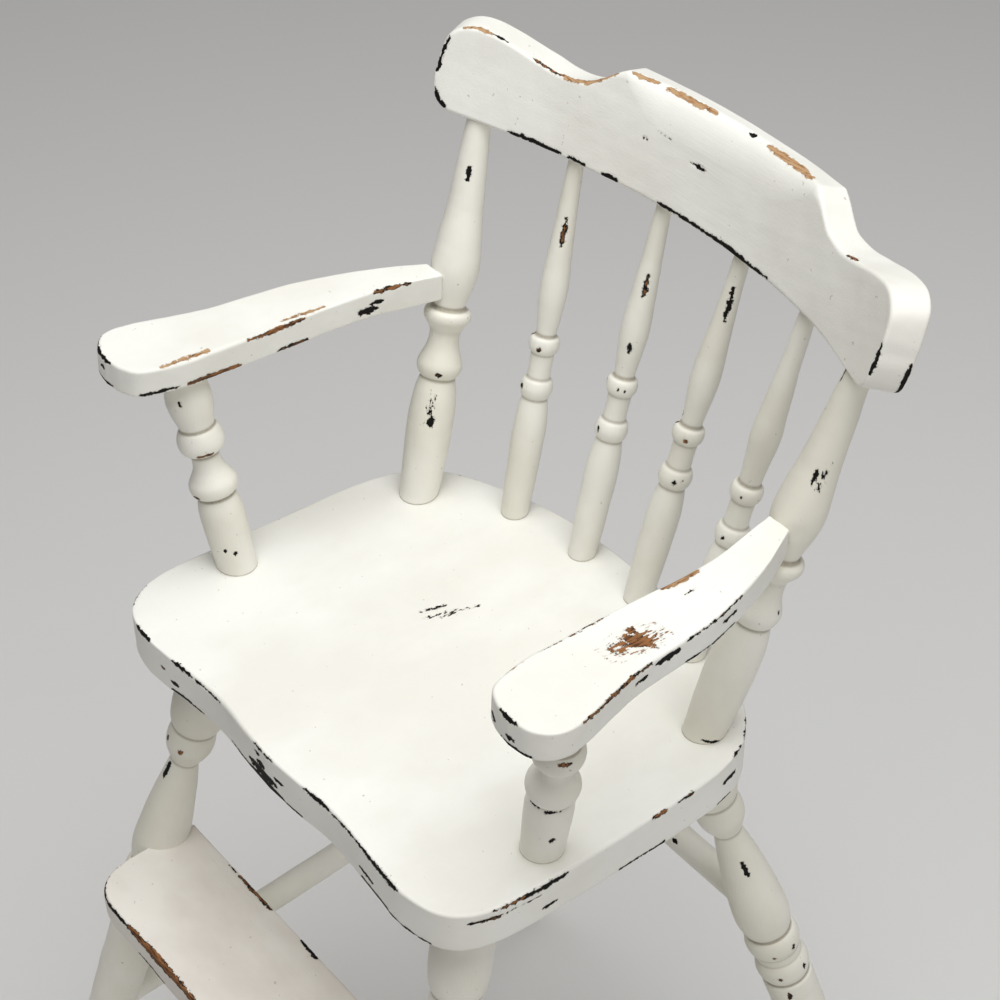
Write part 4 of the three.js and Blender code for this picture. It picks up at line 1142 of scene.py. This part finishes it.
# %% Arm supports
SUPPORT = [
    [(0, 23.6), (18, 25.2), (37, 26.2), (46, 24), (51, 20.8)],
    [(51, 24.4), (52.8, 27.2), (56, 28.8), (59.5, 28), (63.5, 23.4), (68, 18.8), (73, 16.8), (79, 17.2)],
    [(79, 21), (80.6, 24.4), (83.6, 27), (87, 27.6), (90.6, 26.4), (93.8, 23.6), (95, 20.6)],
    [(95, 20), (100, 22.4), (107, 25.8), (114, 27.2)],
]
supports = [
    ("left", mirrored_axis(support_axis), 0.0,
     [(117, VIEW - 14, 3, 0.9), (81, VIEW + 14, -44, 1.1, 0.7), (54, VIEW - 46, -16, 1.2, 0.5),
      (14, VIEW + 16, 2, 1.2), (17, VIEW - 10, 1, 0.7)]),
    ("right", support_axis, 5.0,
     [(27, VIEW + 14, 3, 1.7), (97, VIEW + 10, -26, 1.0, 0.6), (53, VIEW - 50, -30, 0.6),
      (52.6, VIEW + 4, -44, 0.5), (54, VIEW + 44, -36, 0.9), (0.5, VIEW, -110, 0.3)]),
]
for number, (word, axis, lift, rows) in enumerate(supports):
    runs = [[(at + lift, diameter) for at, diameter in run] for run in SUPPORT]
    made = turning(standing_runs(runs, axis[2] + 2, 21.0), axis, below=5.0, past=4.0, ring_gap=0.7)
    rows = rows + stray_blots(70 + number, 4, axis[2])
    turned_skin(f"painted_support_{word}", made, f"arm_support_{word}", rows)

# %% [markdown]
# ## Legs
# Four turned legs splay outward from sockets under the seat. Below the last band they are
# plain and taper to a foot that is sawn level with the floor.

# %% Legs
LEG = [
    [(-14, 24), (0, 27), (26, 33), (48, 35), (63, 32.6), (70, 26.8)],
    [(70.8, 26.6), (73, 28.4), (78, 29.6), (85, 28.6), (92, 23), (97, 18)],
    [(97, 17.2), (125, 26.2), (155, 32.6), (171, 34.2), (182, 31), (188, 26.4)],
    [(188, 28.6), (189.5, 31.4), (193, 33.4), (197, 33.8), (201, 32.6), (205, 28.4)],
    [(205, 29.4), (209, 28.8), (211, 29)],
    [(211, 30), (214, 32.2), (218, 33.4), (223, 32.6), (227, 29.6), (229, 27.8)],
    [(229, 30.6), (231, 32), (241, 32)],
]
legs = [
    ("front_left", mirrored_axis(front_leg_axis),
     [(34, VIEW - 50, 5, 1.0), (80, VIEW - 70, 4, 1.3), (106, VIEW - 62, 12, 2.0),
      (196, VIEW - 20, 8, 1.3, 0.5), (82, VIEW - 20, 3, 1.0, 0.7)]),
    ("front_right", front_leg_axis,
     [(26, VIEW + 12, 6, 1.6), (16, VIEW + 4, 2, 0.8), (86, VIEW, 2, 1.2, 0.4)]),
    ("rear_left", mirrored_axis(rear_leg_axis), [(140, VIEW, 6, 1.2)]),
    ("rear_right", rear_leg_axis,
     [(48, VIEW + 60, 6, 1.1), (122, VIEW + 12, 12, 1.2), (198, VIEW + 50, 3, 1.4, 0.2),
      (199, VIEW - 4, 1, 1.8, 0.6), (219, VIEW - 8, 1, 2.0, 0.7), (219, VIEW + 56, 3, 1.2),
      (236, VIEW, 6, 1.6, 0.3)]),
]
for number, (word, axis, rows) in enumerate(legs):
    lower = [(242, 31.6), (289.5, 31.1), (337, 29.6), (axis[2], 23)]
    made = turning(LEG + [lower], axis, below=4.0, past=0.0, columns=64, on_floor=True)
    rows = rows + stray_blots(80 + number, 9, axis[2])
    turned_skin(f"painted_leg_{word}", made, f"leg_{word}", rows)

# %% [markdown]
# ## Stretchers
# Three plain rods brace the legs: one on each side and one across the back, higher up.

# %% Stretchers
ROD = 18.0  # diameter
ROD_INSET = 9.0  # each end stops inside the leg
back_rod_height = SEAT_TOP - 187.0
side_rod = axis_between(on_axis_at(front_leg_axis, 226.0), on_axis_at(rear_leg_axis, 275.0))
back_rod = axis_between(
    on_axis_at(mirrored_axis(rear_leg_axis), back_rod_height),
    on_axis_at(rear_leg_axis, back_rod_height),
)
rods = [
    ("side_stretcher_left", "painted_side_stretcher_left", mirrored_axis(side_rod)),
    ("side_stretcher_right", "painted_side_stretcher_right", side_rod),
    ("rear_stretcher", "painted_rear_stretcher", back_rod),
]
for number, (node, name, (start, direction, length)) in enumerate(rods):
    axis = (start + direction * ROD_INSET, direction, length - 2 * ROD_INSET)
    runs = [[(0, ROD), (axis[2] / 2, ROD + 0.3), (axis[2], ROD)]]
    made = turning(runs, axis, below=0.0, past=0.0, ring_gap=1.6, columns=48)
    rows = stray_blots(90 + number, 6, axis[2]) + [(axis[2] * 0.75, 60, 5, 1.3)]
    turned_skin(name, made, node, rows)

# %% [markdown]
# ## Bare beech
# Two dowels pin the footrest to the front legs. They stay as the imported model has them, and
# get unpainted beech: pale brown with short dark flecks along the grain.


# %% Beech
def beech():
    """Pale brown wood: noise stretched along x for the grain, and a finer one for flecks."""
    finish = bpy.data.materials.new("bare_beech")
    finish.use_nodes = True
    tree = finish.node_tree
    tree.nodes.clear()
    place = Wire.node(tree, "ShaderNodeTexCoord", output="Object")
    inputs = {0: place, 1: (0.1, 1.0, 1.0)}
    where = Wire.node(tree, "ShaderNodeVectorMath", {"operation": "MULTIPLY"}, inputs)
    grain = Wire.node(tree, "ShaderNodeTexNoise", None, {"Vector": where, "Scale": 500.0, "Detail": 4.0})
    fleck = Wire.node(tree, "ShaderNodeTexNoise", None, {"Vector": where, "Scale": 1500.0, "Detail": 2.0})
    colour = mixed(tree, grain.step(0.35, 0.65), (0.50, 0.31, 0.16, 1.0), (0.66, 0.46, 0.27, 1.0))
    colour = mixed(tree, fleck.step(0.62, 0.7) * 0.6, colour, BROWN_DARK)
    bump = Wire.node(
        tree, "ShaderNodeBump", None, {"Strength": 0.4, "Distance": MM, "Height": grain * 0.2}, "Normal"
    )
    inputs = {"Base Color": colour, "Roughness": 0.65 + grain * 0.1, "Normal": bump}
    shader = Wire.node(tree, "ShaderNodeBsdfPrincipled", None, inputs)
    Wire.node(tree, "ShaderNodeOutputMaterial", None, {"Surface": shader}, output=None)
    return finish


bare_beech = beech()
for word in ("left", "right"):
    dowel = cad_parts[f"footrest_dowel_{word}"]
    if not dowel.material_slots:
        dowel.data.materials.append(bare_beech)
    for place in dowel.material_slots:
        place.material = bare_beech
print("dowels in bare beech: 2")
